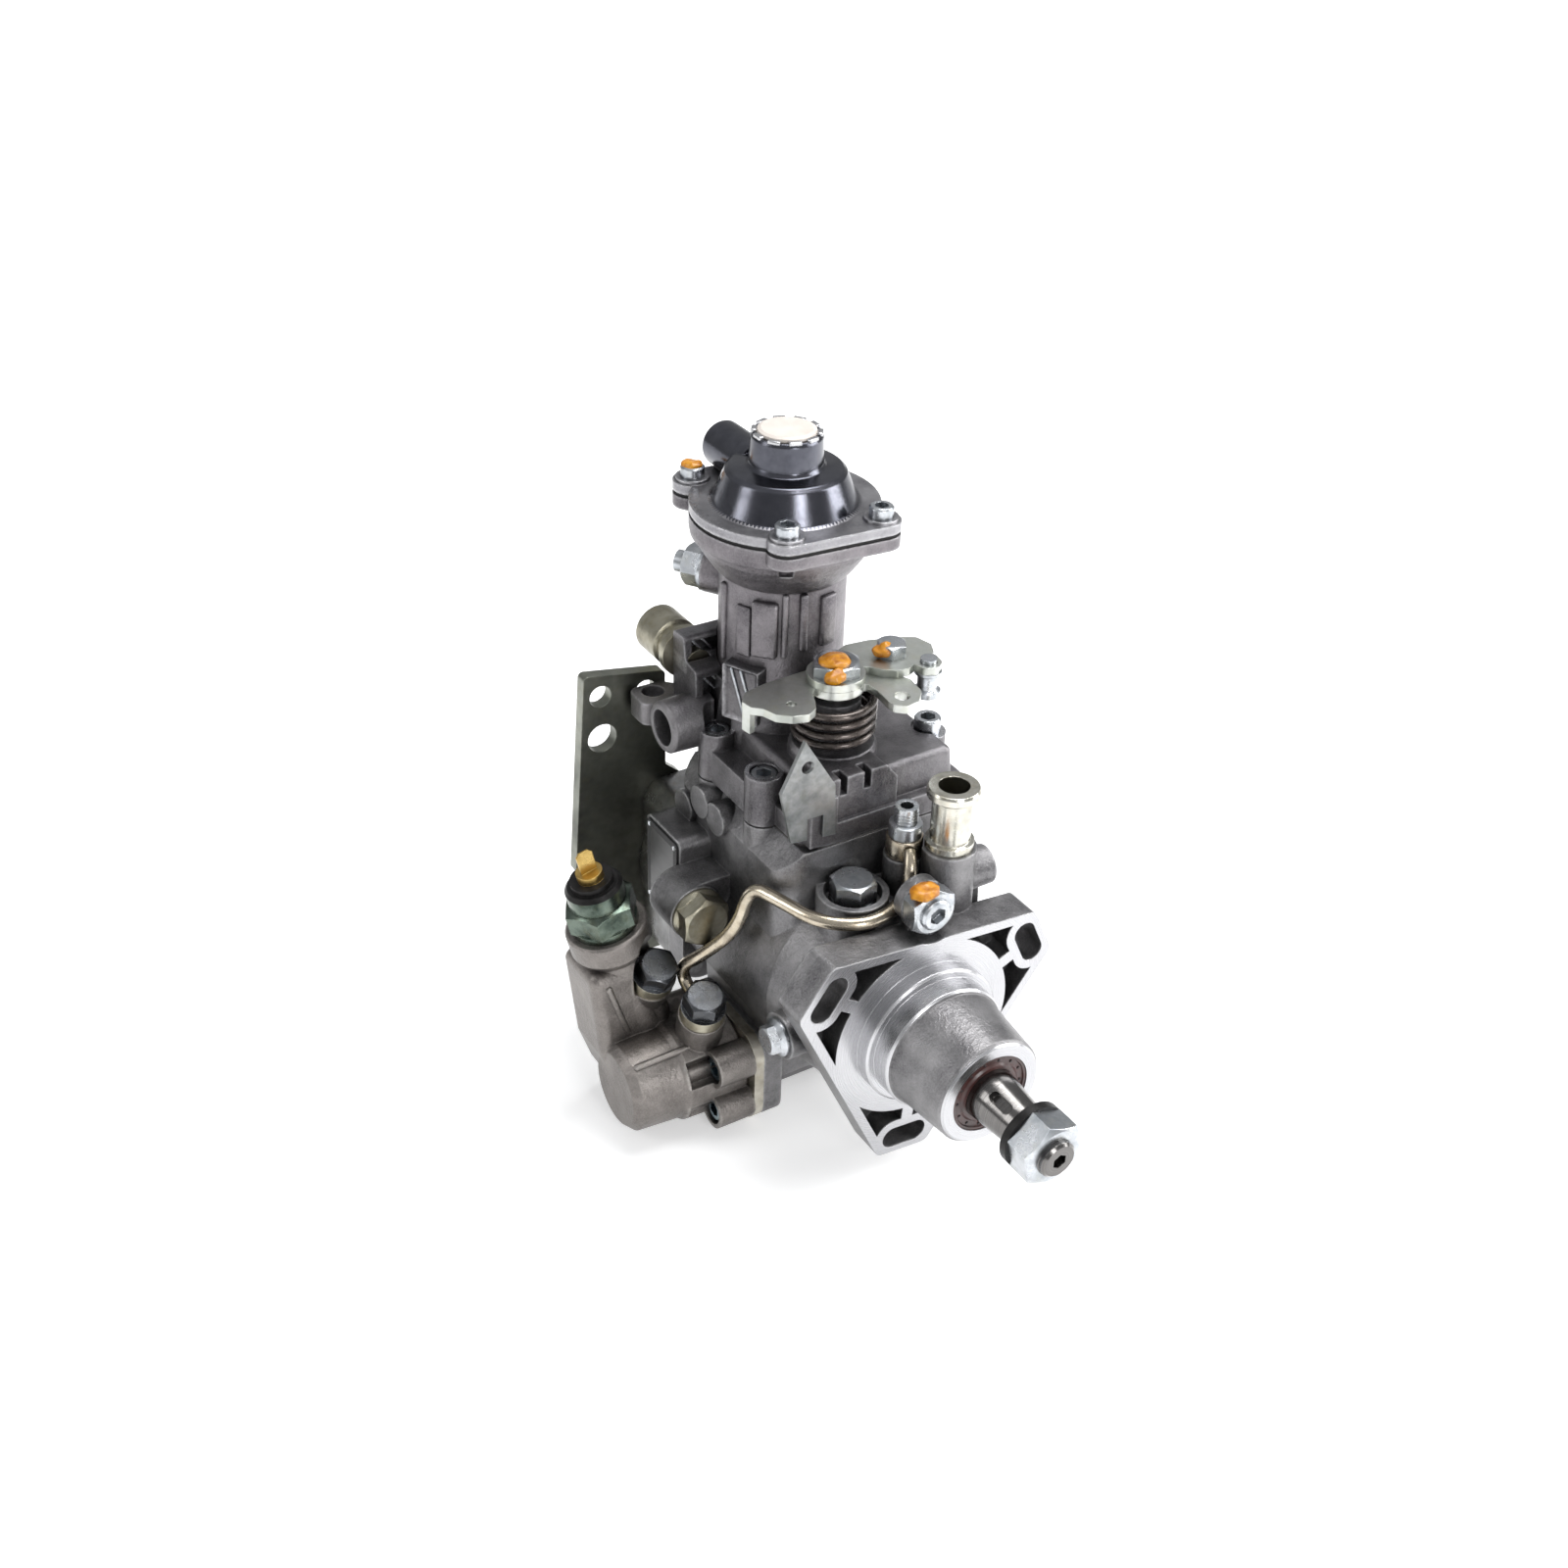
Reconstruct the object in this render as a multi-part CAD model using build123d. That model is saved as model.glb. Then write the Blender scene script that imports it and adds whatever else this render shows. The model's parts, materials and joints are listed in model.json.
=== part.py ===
from build123d import *
import math
import os

# Rotary distributor injection pump with boost compensator and cold-start advance.
# Shaft axis is Y with the drive end at -Y, the flange face is y = 0 and +Z is up.

RUN = 0.06
SLIP = 0.04
GAP = 0.35

SHAFT_R = 10.0
SHAFT_TIP = -78.5
SHAFT_CONE_TOP = -42.0
SHAFT_CONE_END = -62.0
SHAFT_CONE_R = 8.1
THREAD_R = 7.0
SOCKET_AF = 5.0
SOCKET_DEPTH = 4.0
KEY_W = 4.0
KEY_DEPTH = 2.4
KEY_START = -57.0
KEY_END = -47.0
KEY_TURN = 35.0
NUT_AF = 22.0
NUT_H = 10.5
WASHER_R = 12.5
WASHER_T = 3.4

PILOT_R = 25.0
PILOT_L = 14.0
SPIGOT_R = 28.0
SPIGOT_L = 6.0
SNOUT_END = -40.6
SNOUT_R = 20.4
SNOUT_STEP = 0.7
SEAL_R = 15.6
SEAL_T = 7.0
BUSH_WALL = 3.0
BUSH_START = -30.0

FLANGE_T = 14.0
LOBE_R = 58.2
LOBE_HALF = 10.8
LOBE_TURN = 25.1
LOBE_ROUND = 4.0
SLOT_R = 50.0
SLOT_W = 9.0
SLOT_L = 19.0
RIM_W = 3.6
POCKET_DEPTH = 9.5
RIB_W = 5.0

NECK_R = 37.0
BARREL_R = 41.0
BARREL_START = 40.0
BODY_REAR = 118.0
BODY_LEFT = -35.0
BODY_RIGHT = 44.0
BODY_TOP = 60.0
SHOULDER_Z = 50.5
COVER_LEFT = -27.0
BODY_ROUND = 8.0
WALL = 3.5
CHAMBER_R = 33.0
CHAMBER_START = 20.0
CHAMBER_END = 54.0
BORE_R = 27.2
REAR_FLANGE_T = 12.0
REAR_HALF = 39.0
REAR_BOLT = 33.0

RING_T = 14.0
RING_BORE = 27.0
RING_OFFSET = 2.5
ROTOR_R = 22.0
VANE_T = 3.0
VANE_COUNT = 4
PUMP_COVER_T = 4.0

GOV_X = -7.0
GOV_Z = 47.5
GEAR_START = 45.0
GEAR_T = 6.0
DRIVE_TEETH = 37
GOV_TEETH = 23
BACKLASH = 0.5
GOV_SHAFT_R = 4.0
GOV_SEAT_L = 3.2
DISH_X = -12.0
DISH_Y = 31.0
DISH_R = 10.5
DISH_RIM = 13.0
DISH_FLOOR = 40.0
DISH_TOP = 45.0
DISH_PLUG_AF = 15.0
DISH_PLUG_R = 8.7
DISH_PLUG_H = 10.5
SIDE_PLUG_X = -50.0
SIDE_PLUG_Z = 20.0
SIDE_PLUG_Y = 76.0
SIDE_PLUG_AF = 18.0
SIDE_PLUG_R = 10.4
SIDE_PLUG_H = 8.5
SIDE_BOSS_R = 10.8
SIDE_BOSS_END = 92.5
CARRIER_R = 16.0
CARRIER_T = 3.0
WEIGHT_PIVOT_R = 12.6
WEIGHT_W = 8.6
WEIGHT_L = 14.0
WEIGHT_COUNT = 4
EAR_T = 2.0
PIVOT_PIN_R = 1.2
SLEEVE_R = 6.5
SLEEVE_FLANGE_R = 9.4
SLEEVE_FLANGE_T = 2.5
SLEEVE_END = 84.0
SLEEVE_TRAVEL = 2.0

LEVER_PIVOT_Y = 100.0
LEVER_PIVOT_Z = 27.0
LEVER_PIN_R = 2.5
LEVER_T = 3.0
LEVER_BALL_R = 2.6
COLLAR_R = 13.0
COLLAR_W = 8.0
COLLAR_Y = 102.0
PLUNGER_R = 5.5
PLUNGER_END = 134.0

CLAW_START = 53.0
CLAW_DISC_T = 3.6
CLAW_L = 5.0
CLAW_R = 16.8
CLAW_W = 8.0
CAM_R = 25.5
CAM_LOBE = 2.2
CAM_T = 6.0
RING_IN_R = 18.6
ROLLER_R = 4.5
ROLLER_Y = 69.0
ROLLER_COUNT = 4
ROLLER_RING_START = 56.5
ROLLER_RING_END = 71.0
FOOT_R = 9.0
FOOT_T = 3.0
SPRING_BRIDGE_T = 3.0
PLUNGER_SPRING_X = 19.5
PLUNGER_SPRING_R = 4.2
PLUNGER_WIRE = 2.0

TIMING_Y = 70.0
TIMING_Z = -45.0
PISTON_R = 14.0
PISTON_L = 42.0
TIMING_WALL = 5.5
TIMING_HALF = 36.0
TIMING_FLANGE_T = 8.0
TIMING_FLANGE_W = 50.0
TIMING_FLANGE_H = 40.0
TIMING_PIN_R = 3.5
TIMING_TRAVEL = 6.0
TIMING_BOLT_Y = 18.5
TIMING_BOLT_Z = 10.0
TIMING_COVER_T = 7.0
TIMING_SPRING_R = 8.0

HEAD_FLANGE_T = 20.0
HEAD_HUB_R = 30.0
HEAD_HUB_T = 12.0
HEAD_NOSE_T = 6.0
VALVE_COUNT = 4
VALVE_R = 21.5
VALVE_L = 27.0
SHUTOFF_Y = 132.5
SHUTOFF_R = 10.0

COVER_FRONT = 40.0
COVER_REAR = 121.0
COVER_LIP = 9.0
COVER_TOP = 82.0
COVER_INNER = 72.0
COVER_BOSS_TOP = 80.0
COVER_SINK = 6.5
TOWER_TOP = 86.0
COVER_BOSS_R = 7.0
COVER_SCREW_R = 3.0
GASKET_T = 0.8
TUBE_Y = 111.0
TUBE_Z = 79.5

THROTTLE_X = 0.0
THROTTLE_Y = 66.0
THROTTLE_R = 5.0
THROTTLE_SPRING_R = 14.0
LEVER_LOW_Z = 107.5
LEVER_UP_Z = 113.0
LEVER_PLATE = 3.0
LEVER_BOLT_X = 24.0
LEVER_BOLT_Y = 67.0
SPOOL_X = 32.6
SPOOL_Y = 55.8
THROTTLE_TOP = 118.5

BOOST_X = 2.0
BOOST_Y = 106.0
BOOST_BASE = 97.0
BOOST_NECK_R = 23.2
BOOST_BELL_R = 34.0
BOOST_FLANGE_Z = 153.5
BOOST_PART_Z = 158.0
BOOST_LUG_R = 7.2
DIAPHRAGM_T = 1.4
DOME_R = 26.0
DOME_NECK_R = 12.8
CAP_R = 9.6
DOME_TOP = 188.0
BOOST_CAVITY_R = 22.0
BOOST_PIN_R = 3.5
BOOST_TRAVEL = 4.0

VALVE_BOSS_X = 2.5
VALVE_BOSS_Z = 48.5
INLET_X = 21.0
INLET_Y = 20.5
INLET_BASE = 60.0
INLET_TOP = 85.0
OVERFLOW_X = 9.5
OVERFLOW_Y = 31.5
OVERFLOW_BASE = 54.0
OVERFLOW_BOSS_R = 7.3
EYE_R = 6.7
PIPE_R = 2.5
TAG_T = 1.6

COLD_R = 20.5
COLD_LUG_R = 7.5
COLD_START = -42.0
COLD_LEFT = -88.0
COLD_FOOT = (-69.0, 88.0, -32.0)
COLD_ARM_TOP = (-81.0, 89.0, 18.5)
COLD_BOSS_R = 9.0
COLD_BOLT_AF = 14.0
COLD_BOLT_R = 3.0
COLD_EYE_R = 8.6
COLD_EYE_T = 5.4
VALVE_SEAT_Y = 9.0
VALVE_BOSS_END = 13.9
VALVE_BOSS_R = 9.0
VALVE_SHANK = 4.0

BRACKET_T = 5.0
LOCK_Y = 26.0
LOCK_Z = -5.0
LOCK_SEAT = -44.0

SPIN = (DRIVE_TEETH + GOV_TEETH) / 2.0
MODULE = math.hypot(GOV_X, GOV_Z) / SPIN
HEAD_REAR = BODY_REAR + HEAD_FLANGE_T
TIMING_END = TIMING_HALF + TIMING_FLANGE_T / 4.0
LOBES = [LOBE_TURN, LOBE_TURN + 120.0, LOBE_TURN + 240.0]
COVER_SCREWS = [(-28.0, 67.0), (-27.5, 101.0), (39.0, 62.0), (39.0, 104.0)]
REAR_BOLTS = [(x, z) for x in (-REAR_BOLT, REAR_BOLT) for z in (-REAR_BOLT, REAR_BOLT)]
BOOST_SCREWS = [(-14.2, 78.4), (22.4, 75.9), (-18.4, 136.1), (18.2, 133.6)]
TIMING_BOLTS = [
    (TIMING_Y + sy * TIMING_BOLT_Y, TIMING_Z + sz * TIMING_BOLT_Z)
    for sy, sz in ((-1, -1), (1, -1), (1, 1), (-1, 1))
]


def front(y):
    return Plane(origin=(0, y, 0), x_dir=(1, 0, 0), z_dir=(0, -1, 0))


def side(x):
    return Plane(origin=(x, 0, 0), x_dir=(0, 1, 0), z_dir=(1, 0, 0))


def slab_x(sketch, x0, x1):
    return extrude(side(x0) * sketch, amount=x1 - x0)


def slab_y(sketch, y0, y1):
    return extrude(front(y1) * sketch, amount=y1 - y0)


def slab_z(sketch, z0, z1):
    return extrude(Pos(0, 0, z0) * sketch, amount=z1 - z0)


def rod_x(radius, x0, x1, y, z):
    return slab_x(Pos(y, z) * Circle(radius), x0, x1)


def rod_y(radius, y0, y1, x=0.0, z=0.0):
    return slab_y(Pos(x, z) * Circle(radius), y0, y1)


def rod_z(radius, z0, z1, x=0.0, y=0.0):
    return slab_z(Pos(x, y) * Circle(radius), z0, z1)


def outline(*points, round_by=0.0):
    face = make_face(Polyline(*points, close=True))
    if round_by > 0.0:
        return fillet(face.vertices(), round_by)
    return face


def lathe_x(y, z, *points):
    turned = revolve(make_face(Polyline(*points, close=True)), Axis.X)
    return Pos(0, y, z) * turned


def lathe_y(*points):
    return revolve(make_face(Polyline(*points, close=True)), Axis.Y)


def lathe_z(x, y, *points):
    turned = revolve(Plane.XZ * make_face(Polyline(*points, close=True)), Axis.Z)
    return Pos(x, y, 0) * turned


def aim(origin, direction, shape):
    return Plane(origin=origin, z_dir=direction) * shape


def hexagon(across_flats):
    return RegularPolygon(across_flats / 2.0, 6, major_radius=False)


def hex_prism(across_flats, height):
    blank = extrude(hexagon(across_flats), amount=height)
    rim = across_flats * 0.62
    dome = lathe_z(
        0, 0,
        (0, 0), (rim, 0), (rim, height - across_flats * 0.09),
        (across_flats * 0.46, height), (0, height),
    )
    return blank & dome


def hex_bolt(across_flats, head, shank_radius, shank, collar=0.0):
    bolt = hex_prism(across_flats, head) + rod_z(shank_radius, -shank, 0.5)
    if collar > 0.0:
        bolt += lathe_z(
            0, 0, (0, 0), (collar, 0), (collar, 1.2), (across_flats * 0.52, 2.6), (0, 2.6)
        )
    return bolt


def cap_screw(head_radius, head, shank_radius, shank):
    body = lathe_z(
        0, 0,
        (0, -shank), (shank_radius, -shank), (shank_radius, 0), (head_radius, 0),
        (head_radius, head - 0.6), (head_radius - 0.6, head), (0, head),
    )
    socket = Pos(0, 0, head * 0.4) * extrude(hexagon(head_radius * 1.05), amount=head)
    return body - socket


def coil(radius, wire, turns, height, sides=6):
    path = Helix(pitch=height / turns, height=height, radius=radius)
    section = Plane(origin=path @ 0, z_dir=path % 0) * RegularPolygon(wire / 2.0, sides)
    return sweep(section, path=path, is_frenet=True)


def gear_face(teeth):
    pitch_r = MODULE * teeth / 2.0
    tip_r = pitch_r + 0.85 * MODULE
    root_r = pitch_r - 1.15 * MODULE
    step = 2.0 * math.pi / teeth
    half = step / 4.0 - BACKLASH / 2.0 / pitch_r
    lean = 0.85 * MODULE * math.tan(math.radians(20.0)) / pitch_r
    points = []
    for i in range(teeth):
        mid = i * step
        for r, a in ((root_r, -half - lean), (tip_r, -half + lean), (tip_r, half - lean),
                     (root_r, half + lean)):
            points.append((r * math.cos(mid + a), r * math.sin(mid + a)))
    return make_face(Polyline(*points, close=True))


def flange_outline():
    points = []
    for lobe in LOBES:
        for turn in (lobe - LOBE_HALF, lobe + LOBE_HALF):
            angle = math.radians(turn)
            points.append((LOBE_R * math.cos(angle), LOBE_R * math.sin(angle)))
    return outline(*points, round_by=LOBE_ROUND)


def flange_slots(grow=0.0):
    slots = Sketch()
    for lobe in LOBES:
        slot = SlotOverall(SLOT_L + 2.0 * grow, SLOT_W + 2.0 * grow)
        slots += Rot(0, 0, lobe) * Pos(SLOT_R, 0) * Rot(0, 0, 90) * slot
    return slots


def flange_pockets():
    area = offset(flange_outline(), -RIM_W, kind=Kind.INTERSECTION) - Circle(SPIGOT_R + 1.5)
    area -= flange_slots(RIM_W)
    for lobe in LOBES:
        area -= Rot(0, 0, lobe) * Pos(SLOT_R - 12.0, 0) * Rectangle(24.0, RIB_W)
    return area


def body_outline(inset=0.0):
    x0 = BODY_LEFT + inset
    x1 = BODY_RIGHT - inset
    y0 = COVER_FRONT + inset
    y1 = BODY_REAR - inset
    corner = BODY_ROUND - 1.0
    face = outline((x0, y0 + corner), (x0 + corner, y0), (x1, y0), (x1, y1), (x0, y1))
    return fillet(face.vertices(), max(BODY_ROUND - inset, 2.0))


def cover_outline(rear, inset=0.0):
    x0 = COVER_LEFT + inset
    x1 = BODY_RIGHT - inset
    y0 = COVER_FRONT + inset
    y1 = rear - inset
    corner = BODY_ROUND - 1.0
    face = outline((x0, y0 + corner), (x0 + corner, y0), (x1, y0), (x1, y1), (x0, y1))
    return fillet(face.vertices(), max(BODY_ROUND - inset, 2.0))


def rear_outline():
    square = Rectangle(2.0 * REAR_HALF, 2.0 * REAR_HALF)
    return fillet(square.vertices(), 9.0) + Circle(BARREL_R)


def timing_outline():
    plate = Rectangle(TIMING_FLANGE_W, TIMING_FLANGE_H)
    return Pos(TIMING_Y, TIMING_Z) * fillet(plate.vertices(), 9.0)


def housing():
    snout = lathe_y(
        (0, FLANGE_T), (NECK_R, FLANGE_T), (NECK_R, 0), (SPIGOT_R, 0),
        (SPIGOT_R, -SPIGOT_L + 0.8), (SPIGOT_R - 0.8, -SPIGOT_L), (PILOT_R, -SPIGOT_L),
        (PILOT_R, -PILOT_L + 0.8), (PILOT_R - 0.8, -PILOT_L), (PILOT_R - 0.8 - SNOUT_STEP, -PILOT_L - 0.4),
        (SNOUT_R + 0.8, SNOUT_END + 1.6), (SNOUT_R, SNOUT_END + 0.8),
        (SNOUT_R - 0.6, SNOUT_END), (0, SNOUT_END),
    )
    flange = slab_y(flange_outline(), 0, FLANGE_T)
    flange -= slab_y(flange_pockets(), -1, POCKET_DEPTH)
    body = snout + flange
    body += lathe_y(
        (0, FLANGE_T), (NECK_R, FLANGE_T), (BARREL_R, BARREL_START),
        (BARREL_R, BODY_REAR), (0, BODY_REAR),
    )
    shoulder = outline(
        (BODY_LEFT, SHOULDER_Z), (COVER_LEFT, BODY_TOP), (COVER_LEFT, BODY_TOP + 5.0),
        (BODY_LEFT - 5.0, BODY_TOP + 5.0), (BODY_LEFT - 5.0, SHOULDER_Z),
    )
    upper = slab_z(body_outline(), 0, BODY_TOP)
    body += slab_y(rear_outline(), BODY_REAR - REAR_FLANGE_T, BODY_REAR)
    body += upper - slab_y(shoulder, COVER_FRONT - 5.0, BODY_REAR + 5.0)
    body += housing_bosses()
    body += timing_block()
    dish = rod_z(DISH_R, DISH_FLOOR, BODY_TOP + 10.0, DISH_X, DISH_Y)
    body -= dish & slab_y(Rectangle(200, 200), 0.0, COVER_FRONT)
    body += rod_z(OVERFLOW_BOSS_R, 30.0, OVERFLOW_BASE, OVERFLOW_X, OVERFLOW_Y)
    body -= housing_cavities()
    body -= slab_y(flange_slots(), -1, FLANGE_T + 1)
    notch_r = 11.5
    body -= rod_y(notch_r, -1, VALVE_SEAT_Y, VALVE_BOSS_X, VALVE_BOSS_Z)
    return body


def housing_bosses():
    shapes = rod_z(DISH_RIM, 20.0, DISH_TOP, DISH_X, DISH_Y)
    for x, y in COVER_SCREWS:
        shapes += rod_z(COVER_BOSS_R, BODY_TOP - 18.0, BODY_TOP, x, y)
    shapes += rod_y(VALVE_BOSS_R, VALVE_SEAT_Y, VALVE_BOSS_END, VALVE_BOSS_X, VALVE_BOSS_Z)
    shapes += slab_y(
        outline((-3, 25), (13, 25), (13, 46), (-3, 46), round_by=3.0), VALVE_SEAT_Y, VALVE_BOSS_END
    )
    shapes += rod_y(SIDE_BOSS_R, SIDE_PLUG_Y, SIDE_BOSS_END, SIDE_PLUG_X, SIDE_PLUG_Z)
    shapes += slab_y(
        outline(
            (SIDE_PLUG_X, SIDE_PLUG_Z - SIDE_BOSS_R), (-30.0, SIDE_PLUG_Z - SIDE_BOSS_R),
            (-30.0, SIDE_PLUG_Z + SIDE_BOSS_R), (SIDE_PLUG_X, SIDE_PLUG_Z + SIDE_BOSS_R),
        ),
        SIDE_PLUG_Y + 1.5, SIDE_BOSS_END,
    )
    shapes += rod_z(10.0, 20.0, INLET_BASE, INLET_X, INLET_Y)
    shapes += rod_x(7.5, INLET_X, 38.0, INLET_Y, 46.0)
    shapes += slab_y(outline((18, 10), (36, 10), (34, 44), (18, 44), round_by=3.0), 18, 44)
    shapes += rod_x(9.0, LOCK_SEAT, -20.0, LOCK_Y, LOCK_Z)
    for y, z, reach in ((97.0, 52.5, 2.4), (86.0, 51.0, 2.0), (115.0 - 6.0, 44.0, 2.4)):
        shapes += rod_x(6.4, BODY_LEFT - reach, COVER_LEFT, y, z)
    pad = slab_x(outline((92, 1), (118, 1), (118, 40), (92, 40), round_by=4.0), -48.0, -30.0)
    return shapes + pad


def timing_block():
    radius = PISTON_R + TIMING_WALL
    web = Pos(TIMING_Y, TIMING_Z) * Circle(radius)
    web += outline(
        (TIMING_Y - radius, TIMING_Z), (TIMING_Y + radius, TIMING_Z),
        (TIMING_Y + radius + 4.0, -12.0), (TIMING_Y - radius - 4.0, -12.0),
    )
    block = slab_x(web, -TIMING_HALF, TIMING_HALF)
    for end in (-1, 1):
        x0, x1 = sorted((end * (TIMING_END - TIMING_FLANGE_T), end * TIMING_END))
        block += slab_x(timing_outline(), x0, x1)
    return block


def housing_cavities():
    cut = rod_y(SEAL_R + SLIP, SNOUT_END - 1.0, BUSH_START - 2.0)
    cut += rod_y(SHAFT_R + BUSH_WALL + SLIP, BUSH_START - 3.0, CHAMBER_START + 1.0)
    cut += rod_y(CHAMBER_R, CHAMBER_START, CHAMBER_END)
    cut += rod_y(BORE_R, CHAMBER_END - 1.0, BODY_REAR + 1.0)
    y0 = GEAR_START - 1.0
    well = slab_z(
        outline(
            (BODY_LEFT + WALL, y0 + WALL + 3.0), (BODY_LEFT + WALL + WALL + 3.0, y0), (BODY_RIGHT - WALL - 8.0, y0),
            (BODY_RIGHT - WALL - 8.0, BODY_REAR - 8.0), (BODY_LEFT + WALL, BODY_REAR - 8.0),
            round_by=2.0,
        ),
        4.0, BODY_TOP + 1.0,
    )
    for x, y in COVER_SCREWS[:2]:
        well -= rod_z(5.6, BODY_TOP - 14.0, BODY_TOP + 2.0, x, y)
    top_left = COVER_LEFT + WALL + 4.0
    cut += well & slab_y(
        outline(
            (BODY_LEFT + WALL, 30), (-24, 4), (24, 4), (BODY_RIGHT - WALL - 8.0, 24),
            (BODY_RIGHT - WALL - 8.0, BODY_TOP + 1.0), (top_left, BODY_TOP + 1.0),
            (top_left, BODY_TOP - 3.0), (BODY_LEFT + WALL, SHOULDER_Z - 5.0),
        ),
        0, BODY_REAR,
    )
    cut += governor_relief()
    cut += rod_y(GOV_SHAFT_R + SLIP, y0 - GOV_SEAT_L, y0 + 1.0, GOV_X, GOV_Z)
    cut += rod_z(5.0 + SLIP, DISH_FLOOR - 6.0, DISH_FLOOR + 1.0, DISH_X, DISH_Y)
    cut += rod_y(5.0 + SLIP, SIDE_PLUG_Y - 1.0, SIDE_PLUG_Y + 12.0, SIDE_PLUG_X, SIDE_PLUG_Z)
    cut += rod_x(PISTON_R + RUN, -100, 100, TIMING_Y, TIMING_Z)
    slot_x = TIMING_TRAVEL + TIMING_PIN_R + 1.0
    slot_y = TIMING_PIN_R + 1.0
    cut += slab_z(
        Pos(0, TIMING_Y - (TIMING_Y - ROLLER_RING_END + 7.0)) * Rectangle(2 * slot_x, 2 * slot_y),
        TIMING_Z, -BORE_R + 6.0,
    )
    for y, z in TIMING_BOLTS:
        cut += rod_x(3.0 + SLIP, -100, 100, y, z)
    for x, z in REAR_BOLTS:
        cut += rod_y(3.0 + SLIP, BODY_REAR - 11.0, BODY_REAR + 1.0, x, z)
    for x, y in COVER_SCREWS:
        cut += rod_z(COVER_SCREW_R + SLIP, BODY_TOP - 12.0, BODY_TOP + 1.0, x, y)
    cut += rod_y(
        7.0 + SLIP, 0.0, VALVE_SEAT_Y + VALVE_SHANK + 0.4, VALVE_BOSS_X, VALVE_BOSS_Z
    )
    cut += rod_z(6.0 + SLIP, INLET_BASE - 12.0, INLET_BASE + 1.0, INLET_X, INLET_Y)
    cut += rod_z(EYE_R + 1.2, OVERFLOW_BASE, 100.0, OVERFLOW_X, OVERFLOW_Y)
    cut += rod_z(4.0 + SLIP, OVERFLOW_BASE - 8.0, OVERFLOW_BASE + 1.0, OVERFLOW_X, OVERFLOW_Y)
    cut += rod_x(3.0 + SLIP, LOCK_SEAT - 1.0, LOCK_SEAT + 8.0, LOCK_Y, LOCK_Z)
    cut += rod_x(
        LEVER_PIN_R + RUN, BODY_LEFT + 1.2, BODY_RIGHT - WALL, LEVER_PIVOT_Y, LEVER_PIVOT_Z
    )
    return cut


def shaft_seal():
    inner = SHAFT_R + RUN
    return lathe_y(
        (inner, SNOUT_END + 0.4), (SEAL_R - 4.2, SNOUT_END + 0.4), (SEAL_R - 3.4, SNOUT_END + 1.1),
        (SEAL_R - 1.3, SNOUT_END + 1.1), (SEAL_R - 1.0, SNOUT_END + 0.4), (SEAL_R, SNOUT_END + 0.4),
        (SEAL_R, SNOUT_END + SEAL_T), (inner, SNOUT_END + SEAL_T),
    )


def shaft_bush():
    tube = Circle(SHAFT_R + BUSH_WALL) - Circle(SHAFT_R + RUN)
    return slab_y(tube, BUSH_START, CHAMBER_START - 2.0)


def eccentric_ring():
    ring = Circle(CHAMBER_R - SLIP) - Pos(0, RING_OFFSET) * Circle(RING_BORE)
    return slab_y(ring, CHAMBER_START, CHAMBER_START + RING_T)


def feed_pump_cover():
    start = CHAMBER_START + RING_T
    plate = Circle(CHAMBER_R - SLIP) - Circle(SHAFT_R + GAP)
    for turn in (60.0, 240.0):
        plate -= Rot(0, 0, turn) * Pos(23.0, 0) * SlotOverall(14.0, 5.0, rotation=90)
    return slab_y(plate, start, start + PUMP_COVER_T)


def drive_shaft():
    thread_top = SHAFT_CONE_END + 1.0
    body = lathe_y(
        (0, SHAFT_TIP), (THREAD_R - 1.0, SHAFT_TIP), (THREAD_R, SHAFT_TIP + 1.0),
        (THREAD_R, thread_top - 2.5), (THREAD_R - 0.8, thread_top - 1.5),
        (THREAD_R - 0.8, thread_top - 1.0), (SHAFT_CONE_R, thread_top - 1.0),
        (SHAFT_R, SHAFT_CONE_TOP), (SHAFT_R, CLAW_START), (CLAW_R, CLAW_START),
        (CLAW_R, CLAW_START + CLAW_DISC_T), (0, CLAW_START + CLAW_DISC_T),
    )
    for sign in (-1, 1):
        body += claw(sign, CLAW_START + CLAW_DISC_T - 0.5, CLAW_L + 0.3, 0.0)
    key = slab_z(Rectangle(KEY_W, KEY_END - KEY_START), SHAFT_R - 1.0 - KEY_DEPTH, SHAFT_R + 3.0)
    key = Pos(0, (KEY_START + KEY_END) / 2.0, 0) * key
    key = fillet(key.edges().filter_by(Axis.Z), KEY_W / 2.0 - 0.1)
    body -= Rot(0, -KEY_TURN, 0) * key
    return body - aim((0, SHAFT_TIP, 0), (0, 1, 0), extrude(hexagon(SOCKET_AF), amount=SOCKET_DEPTH))


def claw(sign, start, length, turn):
    mid = (CLAW_R + 9.0) / 2.0
    tooth = Pos(sign * mid, 0) * Rectangle(CLAW_R - 9.0, CLAW_W) & Circle(CLAW_R - 0.4)
    return slab_y(Rot(0, 0, turn) * tooth, start, start + length)


def shaft_nut():
    body = hex_prism(NUT_AF, NUT_H) - rod_z(THREAD_R + SLIP, -1, NUT_H + 1)
    return aim((0, SHAFT_CONE_END - WASHER_T, 0), (0, -1, 0), Rot(0, 0, 12) * body)


def shaft_washer():
    ring = Circle(WASHER_R) - Circle(THREAD_R + SLIP)
    return slab_y(ring, SHAFT_CONE_END - WASHER_T, SHAFT_CONE_END - 0.2)


def rotor_disc():
    face = Circle(ROTOR_R) - Circle(SHAFT_R + SLIP)
    for i in range(VANE_COUNT):
        turn = 360.0 / VANE_COUNT * i
        face -= Rot(0, 0, turn) * Pos(ROTOR_R - 3.0, 0) * Rectangle(12.0, VANE_T + 2.0 * SLIP)
    return slab_y(face, CHAMBER_START + GAP, CHAMBER_START + RING_T - GAP)


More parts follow.
